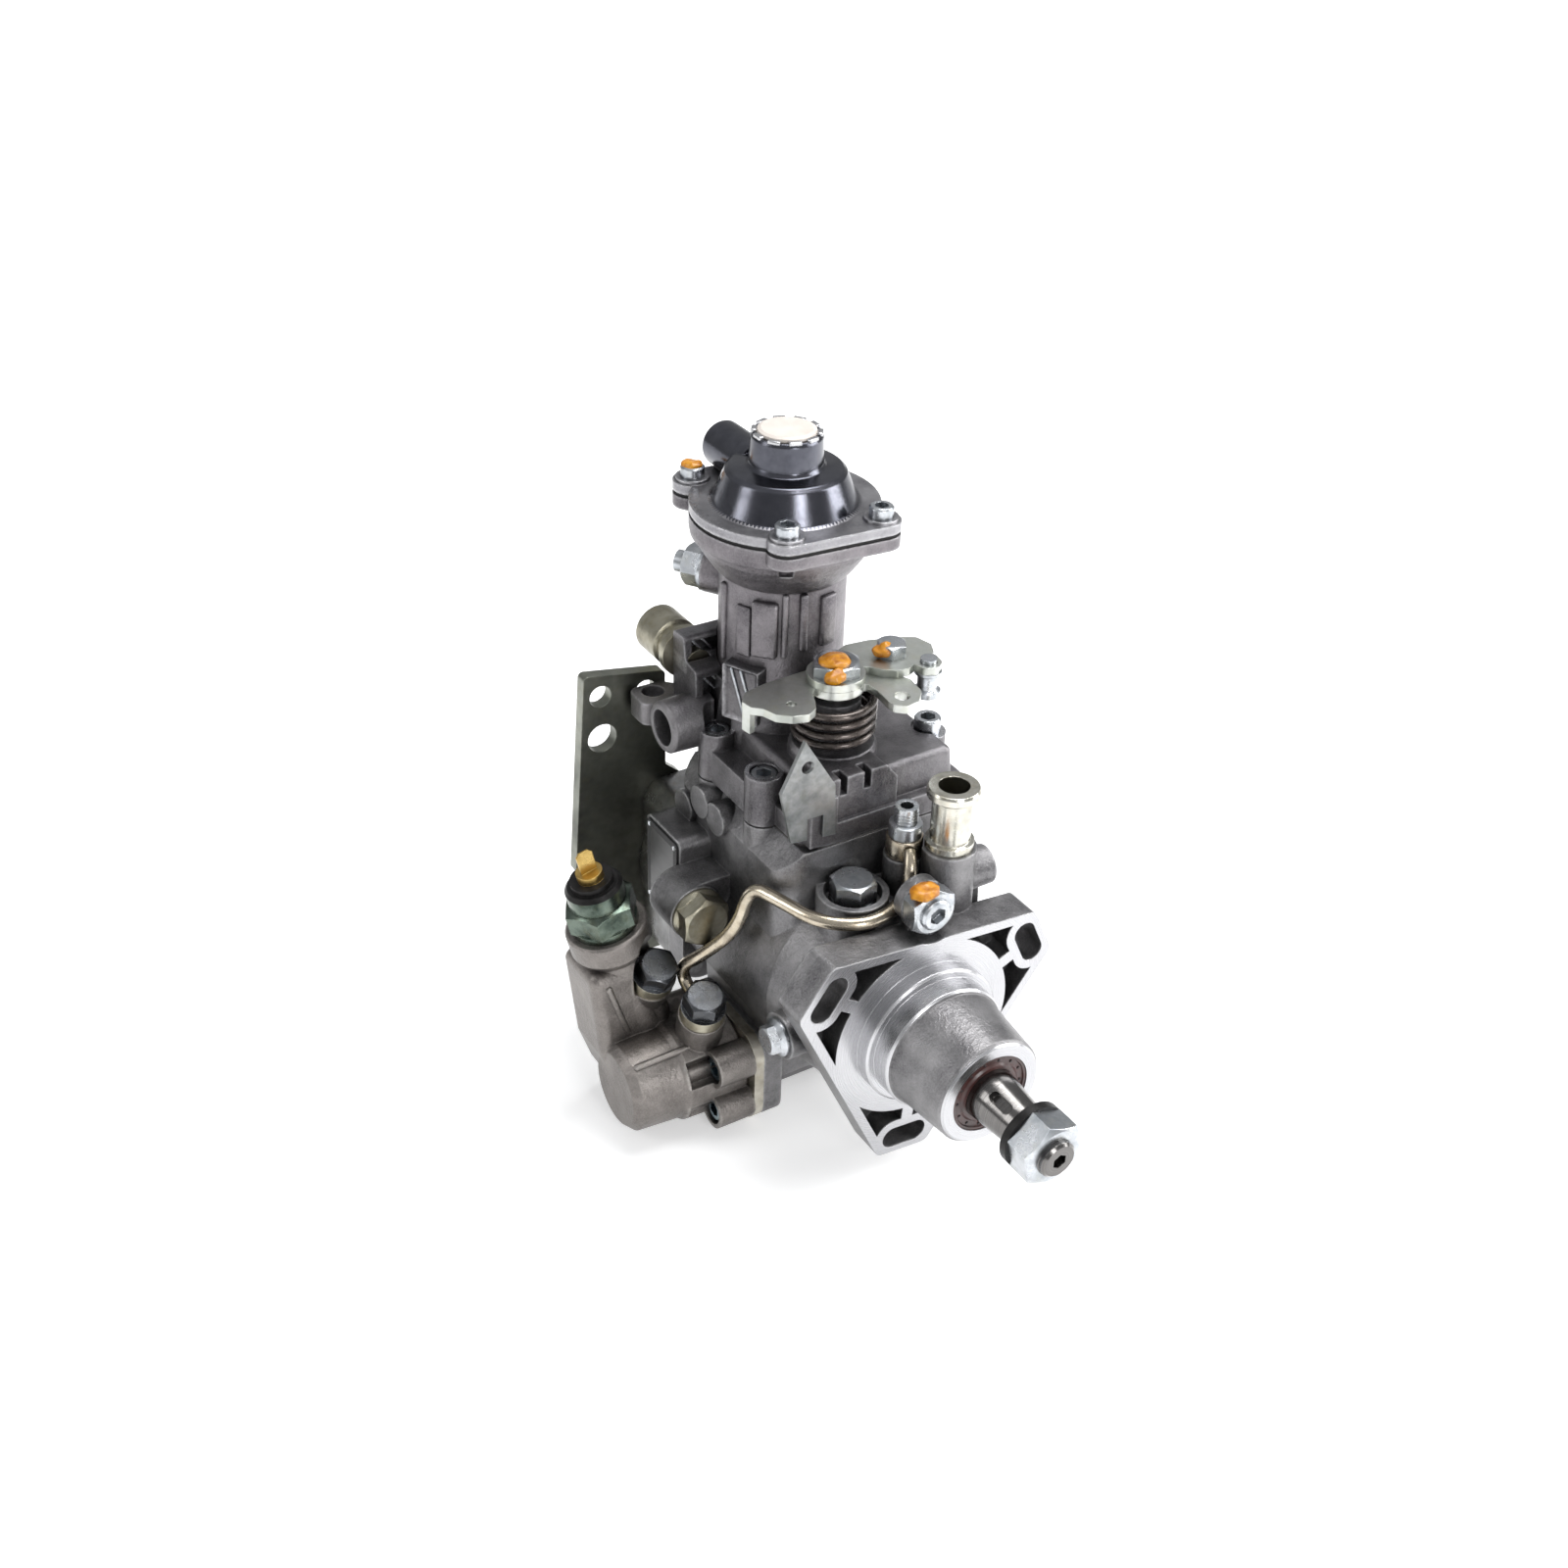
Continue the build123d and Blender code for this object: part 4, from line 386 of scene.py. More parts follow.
@dataclass(frozen=True)
class TurnedFinish:
    """Machined aluminium or steel with fine tool lines round the shaft axis."""

    name: str
    light: Colour
    dark: Colour
    rough: float = 0.26
    lines: float = 3.2
    depth: float = 0.000007
    edge: float = 0.0005

    def make(self) -> bpy.types.Material:
        """Builds the material.

        Returns:
            The material.
        """
        s = Shader(self.name)
        x, y, z = s.axis("X"), s.axis("Y"), s.axis("Z")
        radius = (x * x + z * z).apply("SQRT")
        track = s.node("ShaderNodeCombineXYZ", {}, {0: radius * self.lines, 1: y * self.lines})
        lines = s.node(
            "ShaderNodeTexNoise", {},
            {"Vector": track, "Scale": 1.0, "Detail": 4.0, "Roughness": 0.6},
        )
        cloud = s.noise(60.0, 3.0)
        base = s.ramp(lines, (0.28, self.dark), (0.7, self.light))
        base = s.mix(s.level(cloud, 0.4, 0.75) * 0.35, base, self.dark)
        s.surface(lines, self.depth, self.edge)
        rough = s.level(lines, 0.3, 0.7, self.rough + 0.08, self.rough - 0.06)
        return s.finish(Base_Color=base, Roughness=rough, Metallic=1.0)


@dataclass(frozen=True)
class PlatedFinish:
    """Zinc, nickel or chromate plating on steel, cloudy and slightly handled, with painted shade in
    corners.
    """

    name: str
    light: Colour
    dark: Colour
    tint: Colour
    rough: float = 0.28
    edge: float = 0.0004
    cloud: float = 120.0
    metal: float = 1.0

    def make(self) -> bpy.types.Material:
        """Builds the material.

        Returns:
            The material.
        """
        s = Shader(self.name)
        cloud = s.noise(self.cloud, 4.0, 0.6)
        fine = s.noise(2200.0, 2.0, 0.6)
        base = s.ramp(cloud, (0.32, self.dark), (0.62, self.light))
        base = s.mix(s.level(s.noise(260.0, 3.0), 0.5, 0.78) * 0.55, base, self.tint)
        # Painted shade: corners and recesses darken towards a quarter of the dark colour.
        painted_shade = s.level(s.crevice(0.004), 0.25, 0.8, 1.0, 0.0)
        base = s.mix(painted_shade * 0.55, base, tuple(c * 0.25 for c in self.dark))
        s.surface(fine * 0.6 + cloud * 0.4, 0.00005, self.edge)
        rough = s.level(cloud, 0.3, 0.7, self.rough + 0.07, self.rough - 0.06)
        return s.finish(Base_Color=base, Roughness=rough, Metallic=self.metal)


@dataclass(frozen=True)
class CoatFinish:
    """Opaque non-metal surface: paint, rubber, plastic, blackened steel."""

    name: str
    light: Colour
    dark: Colour
    rough: float = 0.5
    metal: float = 0.0
    grain: float = 700.0
    depth: float = 0.00008
    edge: float = 0.0004
    coat: float = 0.0

    def make(self) -> bpy.types.Material:
        """Builds the material.

        Returns:
            The material.
        """
        s = Shader(self.name)
        cloud = s.noise(self.grain * 0.25, 3.0)
        fine = s.noise(self.grain, 3.0, 0.6)
        base = s.ramp(cloud, (0.35, self.dark), (0.65, self.light))
        s.surface(fine, self.depth, self.edge)
        rough = s.level(fine, 0.3, 0.7, self.rough - 0.08, self.rough + 0.08)
        return s.finish(
            Base_Color=base, Roughness=rough, Metallic=self.metal, Coat_Weight=self.coat
        )


@dataclass(frozen=True)
class LabelFinish:
    """Satin plate with a black printed border and bare centre."""

    name: str
    face: Colour
    frame: Colour
    low: tuple[float, float]
    high: tuple[float, float]
    border: float

    def make(self) -> bpy.types.Material:
        """Builds the material.

        Returns:
            The material.
        """
        s = Shader(self.name)
        y, z = s.axis("Y"), s.axis("Z")
        inside = (y > self.low[0] + self.border) * (y < self.high[0] - self.border)
        inside = inside * (z > self.low[1] + self.border) * (z < self.high[1] - self.border)
        brushed = s.noise(900.0, 3.0, 0.6, (1.0, 0.08, 1.0))
        face = s.ramp(brushed, (0.3, tuple(c * 0.75 for c in self.face)), (0.7, self.face))
        base = s.mix(inside, self.frame, face)
        s.surface(brushed, 0.00003, 0.0003)
        return s.finish(Base_Color=base, Roughness=inside * -0.22 + 0.55, Metallic=inside * 0.9)


def rgb(red: int, green: int, blue: int) -> Colour:
    """Linear colour from screen values.

    Args:
        red: 0 to 255.
        green: 0 to 255.
        blue: 0 to 255.

    Returns:
        The linear colour.
    """
    def channel(v: int) -> float:
        """One channel."""
        c = v / 255.0
        return c / 12.92 if c <= 0.04045 else ((c + 0.055) / 1.055) ** 2.4

    return (channel(red), channel(green), channel(blue))


def metres(lengths: Sequence[float]) -> tuple[float, ...]:
    """Lengths in metres from millimetres."""
    return tuple(length * MM for length in lengths)


def polar(centre: Sequence[float], radius: float, turn: float) -> tuple[float, float]:
    """Point on a circle.

    Args:
        centre: The circle's centre.
        radius: Its radius.
        turn: Angle in degrees from the first axis.

    Returns:
        The two coordinates.
    """
    angle = math.radians(turn)
    return centre[0] + radius * math.cos(angle), centre[1] + radius * math.sin(angle)


def near(value: np.ndarray, target: float, slack: float) -> np.ndarray:
    """Where a value is close to a target.

    Args:
        value: Values.
        target: Target.
        slack: Allowed difference.

    Returns:
        The test for each value.
    """
    return np.abs(value - target) < slack


class Finish(Enum):
    """Every finish on the pump."""

    CAST_BODY = CastFinish(
        "cast_body", rgb(140, 139, 140), rgb(86, 85, 87), rgb(16, 16, 17), rgb(204, 204, 205)
    )
    CAST_COVER = CastFinish(
        "cast_cover", rgb(126, 124, 126), rgb(74, 72, 75), rgb(14, 14, 15), rgb(184, 183, 186)
    )
    CAST_COLD = CastFinish(
        "cast_cold", rgb(142, 137, 133), rgb(94, 89, 86), rgb(22, 20, 19), rgb(190, 186, 181)
    )
    CAST_BOOST = CastFinish(
        "cast_boost", rgb(134, 130, 133), rgb(78, 75, 79), rgb(14, 14, 15), rgb(190, 189, 191)
    )
    SATIN = CastFinish(
        "satin_cast", rgb(152, 151, 154), rgb(118, 117, 121), rgb(20, 20, 21), rgb(224, 224, 226),
        0.30, 0.95, 1500.0, 0.00010,
    )
    TURNED = TurnedFinish("turned_aluminium", rgb(202, 202, 204), rgb(176, 176, 179))
    SHAFT = TurnedFinish("ground_shaft", rgb(128, 126, 124), rgb(92, 90, 89), 0.17)
    DOME = PlatedFinish(
        "polished_dome", rgb(96, 97, 104), rgb(76, 77, 84), rgb(66, 67, 74), 0.17, 0.0008, 60.0
    )
    CAP = CoatFinish("ivory_cap", rgb(208, 201, 194), rgb(196, 188, 180), 0.45, 0.0, 400.0)
    ZINC = PlatedFinish("zinc", rgb(200, 203, 207), rgb(150, 155, 160), rgb(178, 179, 174))
    GREY_ZINC = PlatedFinish("grey_zinc", rgb(98, 100, 103), rgb(68, 70, 74), rgb(86, 86, 82))
    BLUE_ZINC = PlatedFinish("blue_zinc", rgb(150, 168, 176), rgb(96, 116, 126), rgb(150, 160, 140))
    ZINC_SHEET = PlatedFinish(
        "zinc_sheet", rgb(206, 208, 203), rgb(168, 172, 166), rgb(188, 188, 172), 0.33, 0.0004, 60.0
    )
    SHIM = PlatedFinish("shims", rgb(206, 202, 190), rgb(166, 160, 146), rgb(180, 172, 150), 0.36)
    TAG = PlatedFinish("tag_zinc", rgb(150, 152, 152), rgb(104, 107, 108), rgb(120, 120, 112), 0.36)
    BRACKET = PlatedFinish(
        "bracket_sheet", rgb(140, 142, 132), rgb(92, 94, 88), rgb(116, 116, 100), 0.36, 0.0005, 40.0
    )
    YELLOW_ZINC = PlatedFinish(
        "yellow_zinc", rgb(206, 201, 182), rgb(160, 154, 134), rgb(190, 178, 144), 0.32
    )
    NICKEL = PlatedFinish("nickel", rgb(212, 210, 200), rgb(168, 165, 154), rgb(190, 182, 160), 0.2)
    WARM_STEEL = PlatedFinish(
        "warm_steel", rgb(196, 186, 168), rgb(150, 140, 124), rgb(172, 158, 134), 0.26
    )
    OLIVE_ZINC = PlatedFinish(
        "olive_zinc", rgb(166, 162, 146), rgb(122, 118, 104), rgb(140, 132, 106), 0.36
    )
    GREEN_ZINC = PlatedFinish(
        "green_zinc", rgb(106, 118, 108), rgb(50, 60, 54), rgb(90, 92, 72), 0.24
    )
    STEEL = PlatedFinish(
        "bare_steel", rgb(150, 150, 150), rgb(112, 112, 112), rgb(120, 112, 104), 0.3
    )
    BLACK = CoatFinish("black_oxide", rgb(34, 33, 33), rgb(18, 17, 17), 0.42, 0.6)
    SPRING = CoatFinish(
        "oiled_spring", rgb(92, 84, 80), rgb(50, 44, 42), 0.3, 0.75, 500.0, 0.00004, 0.0, 0.3
    )
    RUBBER = CoatFinish("rubber", rgb(30, 29, 29), rgb(20, 19, 19), 0.65)
    GASKET = CoatFinish("gasket_paper", rgb(66, 63, 62), rgb(44, 42, 42), 0.7)
    SEAL = CoatFinish(
        "seal_lip", rgb(72, 38, 35), rgb(50, 26, 24), 0.4, 0.0, 600.0, 0.00006, 0.0003, 0.2
    )
    SEAL_DOT = CoatFinish("seal_pads", rgb(40, 24, 24), rgb(28, 17, 17), 0.45)
    BRONZE = PlatedFinish("bronze", rgb(180, 140, 92), rgb(130, 96, 60), rgb(120, 90, 60), 0.34)
    BRASS = PlatedFinish("brass", rgb(206, 176, 108), rgb(160, 130, 70), rgb(176, 150, 94), 0.3)
    PAINT = CoatFinish(
        "orange_paint", rgb(208, 142, 14), rgb(160, 92, 4), 0.4, 0.0, 900.0, 0.0003, 0.0, 0.25
    )
    PLATE = LabelFinish(
        "name_plate", rgb(84, 84, 84), rgb(22, 22, 22), (93.5, 2.5), (116.5, 38.5), 2.6
    )


@dataclass
class Paint:
    """Makes each finish once and puts it on objects."""

    made: dict[Finish, bpy.types.Material] = field(default_factory=dict)

    def get(self, finish: Finish) -> bpy.types.Material:
        """The material of a finish.

        Args:
            finish: The finish.

        Returns:
            Its material.
        """
        if finish not in self.made:
            self.made[finish] = finish.value.make()
        return self.made[finish]

    def dress(self, name: str, finish: Finish,
              extra: Iterable[tuple[Finish, FaceTest]] = ()) -> None:
        """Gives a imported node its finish.

        Args:
            name: The node.
            finish: Its main finish.
            extra: Further finishes with a test on face centres in millimetres and normals.
        """
        mesh = NODES[name].data
        mesh.materials.clear()
        mesh.materials.append(self.get(finish))
        count = len(mesh.polygons)
        index = np.zeros(count, np.int32)
        centre = np.zeros(count * 3)
        normal = np.zeros(count * 3)
        mesh.polygons.foreach_get("center", centre)
        mesh.polygons.foreach_get("normal", normal)
        centre = centre.reshape(-1, 3) / MM
        normal = normal.reshape(-1, 3)
        for other, test in extra:
            mesh.materials.append(self.get(other))
            index[test(centre, normal)] = len(mesh.materials) - 1
        mesh.polygons.foreach_set("material_index", index)
        LOG.info("dressed %s", name)

    def dress_plain(self, plan: dict[Finish, str]) -> None:
        """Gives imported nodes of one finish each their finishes.

        Args:
            plan: For each finish the names of its nodes, parted by spaces.
        """
        for finish, names in plan.items():
            for name in names.split():
                self.dress(name, finish)

    def coat(self, piece: Piece, finish: Finish, name: str) -> None:
        """Gives a new piece its finish and its name.

        Args:
            piece: The piece.
            finish: Its finish.
            name: Its name.
        """
        piece.name = name
        piece.data.name = name
        piece.data.materials.clear()
        piece.data.materials.append(self.get(finish))
        LOG.info("made %s", name)

    def dab(self, dab: "Dab") -> None:
        """Puts a dab of tamper paint on its body."""
        piece = blob(dab.size, dab.at, dab.seed, DAB_ROUGH)
        self.coat(piece, Finish.PAINT, dab.name)
        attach(piece, dab.body)


def clear() -> None:
    """Deselects everything."""
    for item in bpy.context.view_layer.objects.selected:
        item.select_set(False)
    bpy.context.view_layer.objects.active = None


def only(piece: Piece) -> None:
    """Makes a piece the only one selected."""
    clear()
    piece.select_set(True)
    bpy.context.view_layer.objects.active = piece


@contextmanager
def editing(piece: Piece) -> Iterator[None]:
    """Edit mode with all of a mesh selected.

    Args:
        piece: The piece to edit.

    Returns:
        The context.
    """
    only(piece)
    bpy.ops.object.mode_set(mode="EDIT")
    bpy.ops.mesh.select_all(action="SELECT")
    yield
    bpy.ops.object.mode_set(mode="OBJECT")


def settle(piece: Piece) -> None:
    """Puts a piece's place into its mesh."""
    only(piece)
    bpy.ops.object.transform_apply(location=True, rotation=True, scale=True)


def apply_all(piece: Piece) -> None:
    """Applies every modifier of a piece."""
    only(piece)
    for modifier in list(piece.modifiers):
        bpy.ops.object.modifier_apply(modifier=modifier.name)


def smooth(piece: Piece, angle: float) -> None:
    """Smooth shading below an angle in degrees."""
    only(piece)
    bpy.ops.object.shade_smooth_by_angle(angle=math.radians(angle))


def outward(piece: Piece) -> None:
    """Merges doubles and points the faces outwards."""
    with editing(piece):
        bpy.ops.mesh.remove_doubles(threshold=1e-6)
        bpy.ops.mesh.normals_make_consistent(inside=False)


def bevel(piece: Piece, width: float) -> None:
    """Rounds the edges of a piece.

    Args:
        piece: The piece.
        width: Width in millimetres.
    """
    modifier = piece.modifiers.new("edge", "BEVEL")
    modifier.width = width * MM
    modifier.segments = 3
    modifier.limit_method = "ANGLE"
    modifier.angle_limit = math.radians(30.0)
    apply_all(piece)


def aim(piece: Piece, at: Sequence[float], along: Sequence[float]) -> None:
    """Turns a piece's own +Z to a direction and moves it.

    Args:
        piece: The piece, modelled about the origin.
        at: Place in millimetres.
        along: Direction.
    """
    turn = Vector(along).normalized().to_track_quat("Z", "Y").to_matrix().to_4x4()
    piece.matrix_world = Matrix.Translation(Vector(at) * MM) @ turn @ piece.matrix_world
    settle(piece)


def join(pieces: Sequence[Piece]) -> Piece:
    """Joins several settled pieces.

    Args:
        pieces: The pieces, two or more.

    Returns:
        The joined piece.
    """
    clear()
    for piece in pieces:
        piece.select_set(True)
    bpy.context.view_layer.objects.active = pieces[0]
    bpy.ops.object.join()
    return bpy.context.object


def outline(corners: int, radius: float, squeeze: float, reach: float) -> Piece:
    """An upright closed outline beside the Z axis, in millimetres.

    Args:
        corners: Number of corners.
        radius: Radius of the outline.
        squeeze: Scale of its size away from the axis.
        reach: Distance of its middle from the axis.

    Returns:
        The outline.
    """
    clear()
    bpy.ops.mesh.primitive_circle_add(vertices=corners, radius=radius * MM, fill_type="NOTHING")
    piece = bpy.context.object
    with editing(piece):
        bpy.ops.transform.rotate(value=math.pi / 2.0, orient_axis="X", center_override=ORIGIN)
        bpy.ops.transform.resize(value=(squeeze, 1, 1), center_override=ORIGIN)
        bpy.ops.transform.translate(value=(reach * MM, 0, 0))
    return piece


def wind(piece: Piece, turns: float, rise: float, steps: int, rounds: int) -> None:
    """Winds an outline about Z and closes the ends.

    Args:
        piece: The outline.
        turns: Turns in one round.
        rise: Rise of one round in millimetres.
        steps: Steps in one round.
        rounds: Number of rounds, merged where there are several.
    """
    screw = piece.modifiers.new("wind", "SCREW")
    screw.axis = "Z"
    screw.angle = 2.0 * math.pi * turns
    screw.screw_offset = rise * MM
    screw.iterations = rounds
    screw.steps = screw.render_steps = steps
    screw.use_merge_vertices = rounds > 1
    apply_all(piece)
    with editing(piece):
        bpy.ops.mesh.select_all(action="DESELECT")
        bpy.ops.mesh.select_non_manifold()
        bpy.ops.mesh.fill_holes(sides=0)
    outward(piece)


def coil(wire: float, radius: float, length: float, turns: float) -> Piece:
    """Round wire wound about Z, from z = 0 up.

    Args:
        wire: Wire radius in millimetres.
        radius: Radius at the wire's middle.
        length: Length over the outside of the end turns.
        turns: Number of turns.

    Returns:
        The coil.
    """
    piece = outline(14, wire, 1.0, radius)
    wind(piece, turns, length - 2.0 * wire, int(COIL_STEPS * turns), 1)
    piece.location = (0.0, 0.0, wire * MM)
    settle(piece)
    smooth(piece, 60.0)
    return piece


def thread(size: "Thread", at: Point, along: Point) -> Piece:
    """A screw thread standing on a plain shank.

    Args:
        size: Sizes of the thread.
        at: Start of the thread in millimetres.
        along: Direction of the thread.

    Returns:
        The thread.
    """
    half = size.pitch * RIDGE_SHARE
    piece = outline(4, half, size.depth / half, size.radius)
    wind(piece, 1.0, size.pitch, THREAD_STEPS, max(1, int(size.length / size.pitch)))
    aim(piece, at, along)
    smooth(piece, 30.0)
    return piece


def blob(size: Point, at: Point, seed: int = 0, rough: float = 0.0) -> Piece:
    """A rounded dab, even or uneven.

    Args:
        size: Half sizes in millimetres.
        at: Place in millimetres.
        seed: Seed of the uneven surface.
        rough: Unevenness in metres.

    Returns:
        The dab.
    """
    clear()
    bpy.ops.mesh.primitive_ico_sphere_add(subdivisions=3, radius=MM)
    piece = bpy.context.object
    with editing(piece):
        bpy.ops.transform.resize(value=size, center_override=ORIGIN)
        bpy.ops.transform.vertex_random(offset=rough, uniform=0.2, normal=0.4, seed=seed)
        bpy.ops.mesh.vertices_smooth(factor=0.5, repeat=2)
        bpy.ops.transform.translate(value=metres(at))
    soften = piece.modifiers.new("soft", "SUBSURF")
    soften.levels = soften.render_levels = 1
    apply_all(piece)
    smooth(piece, 180.0)
    return piece


def cube(size: Sequence[float]) -> Piece:
    """A sharp block about the origin.

    Args:
        size: Sizes in millimetres.

    Returns:
        The block.
    """
    clear()
    bpy.ops.mesh.primitive_cube_add(size=1.0)
    piece = bpy.context.object
    piece.scale = metres(size)
    settle(piece)
    return piece


def place(piece: Piece, at: Sequence[float], turn: float) -> None:
    """Turns a piece about Z and moves it.

    Args:
        piece: The piece, modelled about the origin.
        at: Place in millimetres.
        turn: Turn in degrees.
    """
    piece.rotation_euler = (0.0, 0.0, math.radians(turn))
    piece.location = metres(at)
    settle(piece)


def block(size: Sequence[float], round_by: float) -> Piece:
    """A block with rounded edges about the origin.

    Args:
        size: Sizes in millimetres.
        round_by: Edge radius in millimetres.

    Returns:
        The block.
    """
    piece = cube(size)
    bevel(piece, round_by)
    smooth(piece, 35.0)
    return piece


def strip(start: Point, end: Point, thick: float, round_by: float = 0.3) -> Piece:
    """A straight square bar between two points.

    Args:
        start: First point in millimetres.
        end: Second point.
        thick: Width and height of the bar.
        round_by: Edge radius.

    Returns:
        The bar.
    """
    run = Vector(end) - Vector(start)
    piece = block((thick, thick, run.length), round_by)
    aim(piece, (Vector(start) + Vector(end)) / 2.0, run)
    return piece


@dataclass(frozen=True)
class Thread:
    """Shank radius, rise per turn, length and ridge height of a thread in millimetres."""

    radius: float
    pitch: float
    length: float
    depth: float


@dataclass(frozen=True)
class PressedSpring:
    """A spring with the joint beside it and its travel; lengths in millimetres."""

    name: str
    node: str
    radius: float
    turns: float
    foot: Point
    way: Point
    length: float
    joint: str
    travel: float


@dataclass(frozen=True)
class Dab:
    """A dab of tamper paint on a body, with half sizes and place in millimetres."""

    name: str
    size: Point
    at: Point
    body: str
    seed: int


@dataclass(frozen=True)
class Rib:
    """An upright rib on the boost neck: turn in degrees, lengths in millimetres."""

    turn: float
    width: float
    low: float
    high: float
    proud: float


@dataclass(frozen=True)
class Lamp:
    """A soft box: place and size in metres, power in watts."""

    name: str
    at: Point
    size: tuple[float, float]
    power: float


@dataclass
class DriveEnd:
    """Flange, snout, shaft and nut."""

    paint: Paint
    ring_from: float = -39.9
    ring_bore: float = 15.0
    spigot_radius: float = 28.2
    pilot_radius: float = 24.0
    pilot_end: float = -14.1
    shaft_end: Thread = Thread(6.75, 1.5, 11.6, 0.5)
    thread_from: Point = (0.0, -66.0, 0.0)
    seal_dots: int = 14
    seal_dot_radius: float = 13.3
    seal_dot_size: Point = (0.62, 0.4, 0.62)
    seal_face: float = -39.55

    def machined(self, c: np.ndarray, n: np.ndarray) -> np.ndarray:
        """Flange face, pilot and the ring at the snout's end.

        Args:
            c: Face centres in millimetres.
            n: Face normals.

        Returns:
            The test for each face.
        """
        r = np.hypot(c[:, 0], c[:, 2])
        flat = near(c[:, 1], 0.0, 0.05) & (n[:, 1] < -FACING)
        pilot = (c[:, 1] < 0.02) & (c[:, 1] > self.pilot_end)
        pilot &= (r > self.pilot_radius) & (r < self.spigot_radius)
        ring = (c[:, 1] < self.ring_from) & (r > self.ring_bore)
        return flat | pilot | ring

    def dress(self) -> None:
        """Finishes of the nodes at the drive end."""
        self.paint.dress("housing", Finish.CAST_BODY, [(Finish.TURNED, self.machined)])
        self.paint.dress_plain({
            Finish.SEAL: "shaft_seal",
            Finish.BRONZE: "shaft_bush",
            Finish.SHAFT: "drive_shaft",
            Finish.ZINC: "shaft_nut",
            Finish.BLACK: "shaft_washer",
            Finish.STEEL: "eccentric_ring feed_pump_cover feed_pump_rotor drive_gear cross_disc "
                          "cam_plate plunger roller_ring",
        })

    def thread(self) -> None:
        """Thread on the shaft's end."""
        piece = thread(self.shaft_end, self.thread_from, (0.0, -1.0, 0.0))
        self.paint.coat(piece, Finish.SHAFT, "shaft_thread")
        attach(piece, "drive")

    def dots(self) -> None:
        """Ring of small pads on the seal's face."""
        dots = []
        for i in range(self.seal_dots):
            x, z = polar((0.0, 0.0), self.seal_dot_radius, 360.0 * i / self.seal_dots)
            dots.append(blob(self.seal_dot_size, (x, self.seal_face, z)))
        piece = join(dots)
        self.paint.coat(piece, Finish.SEAL_DOT, "seal_dots")
        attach(piece, "pump")


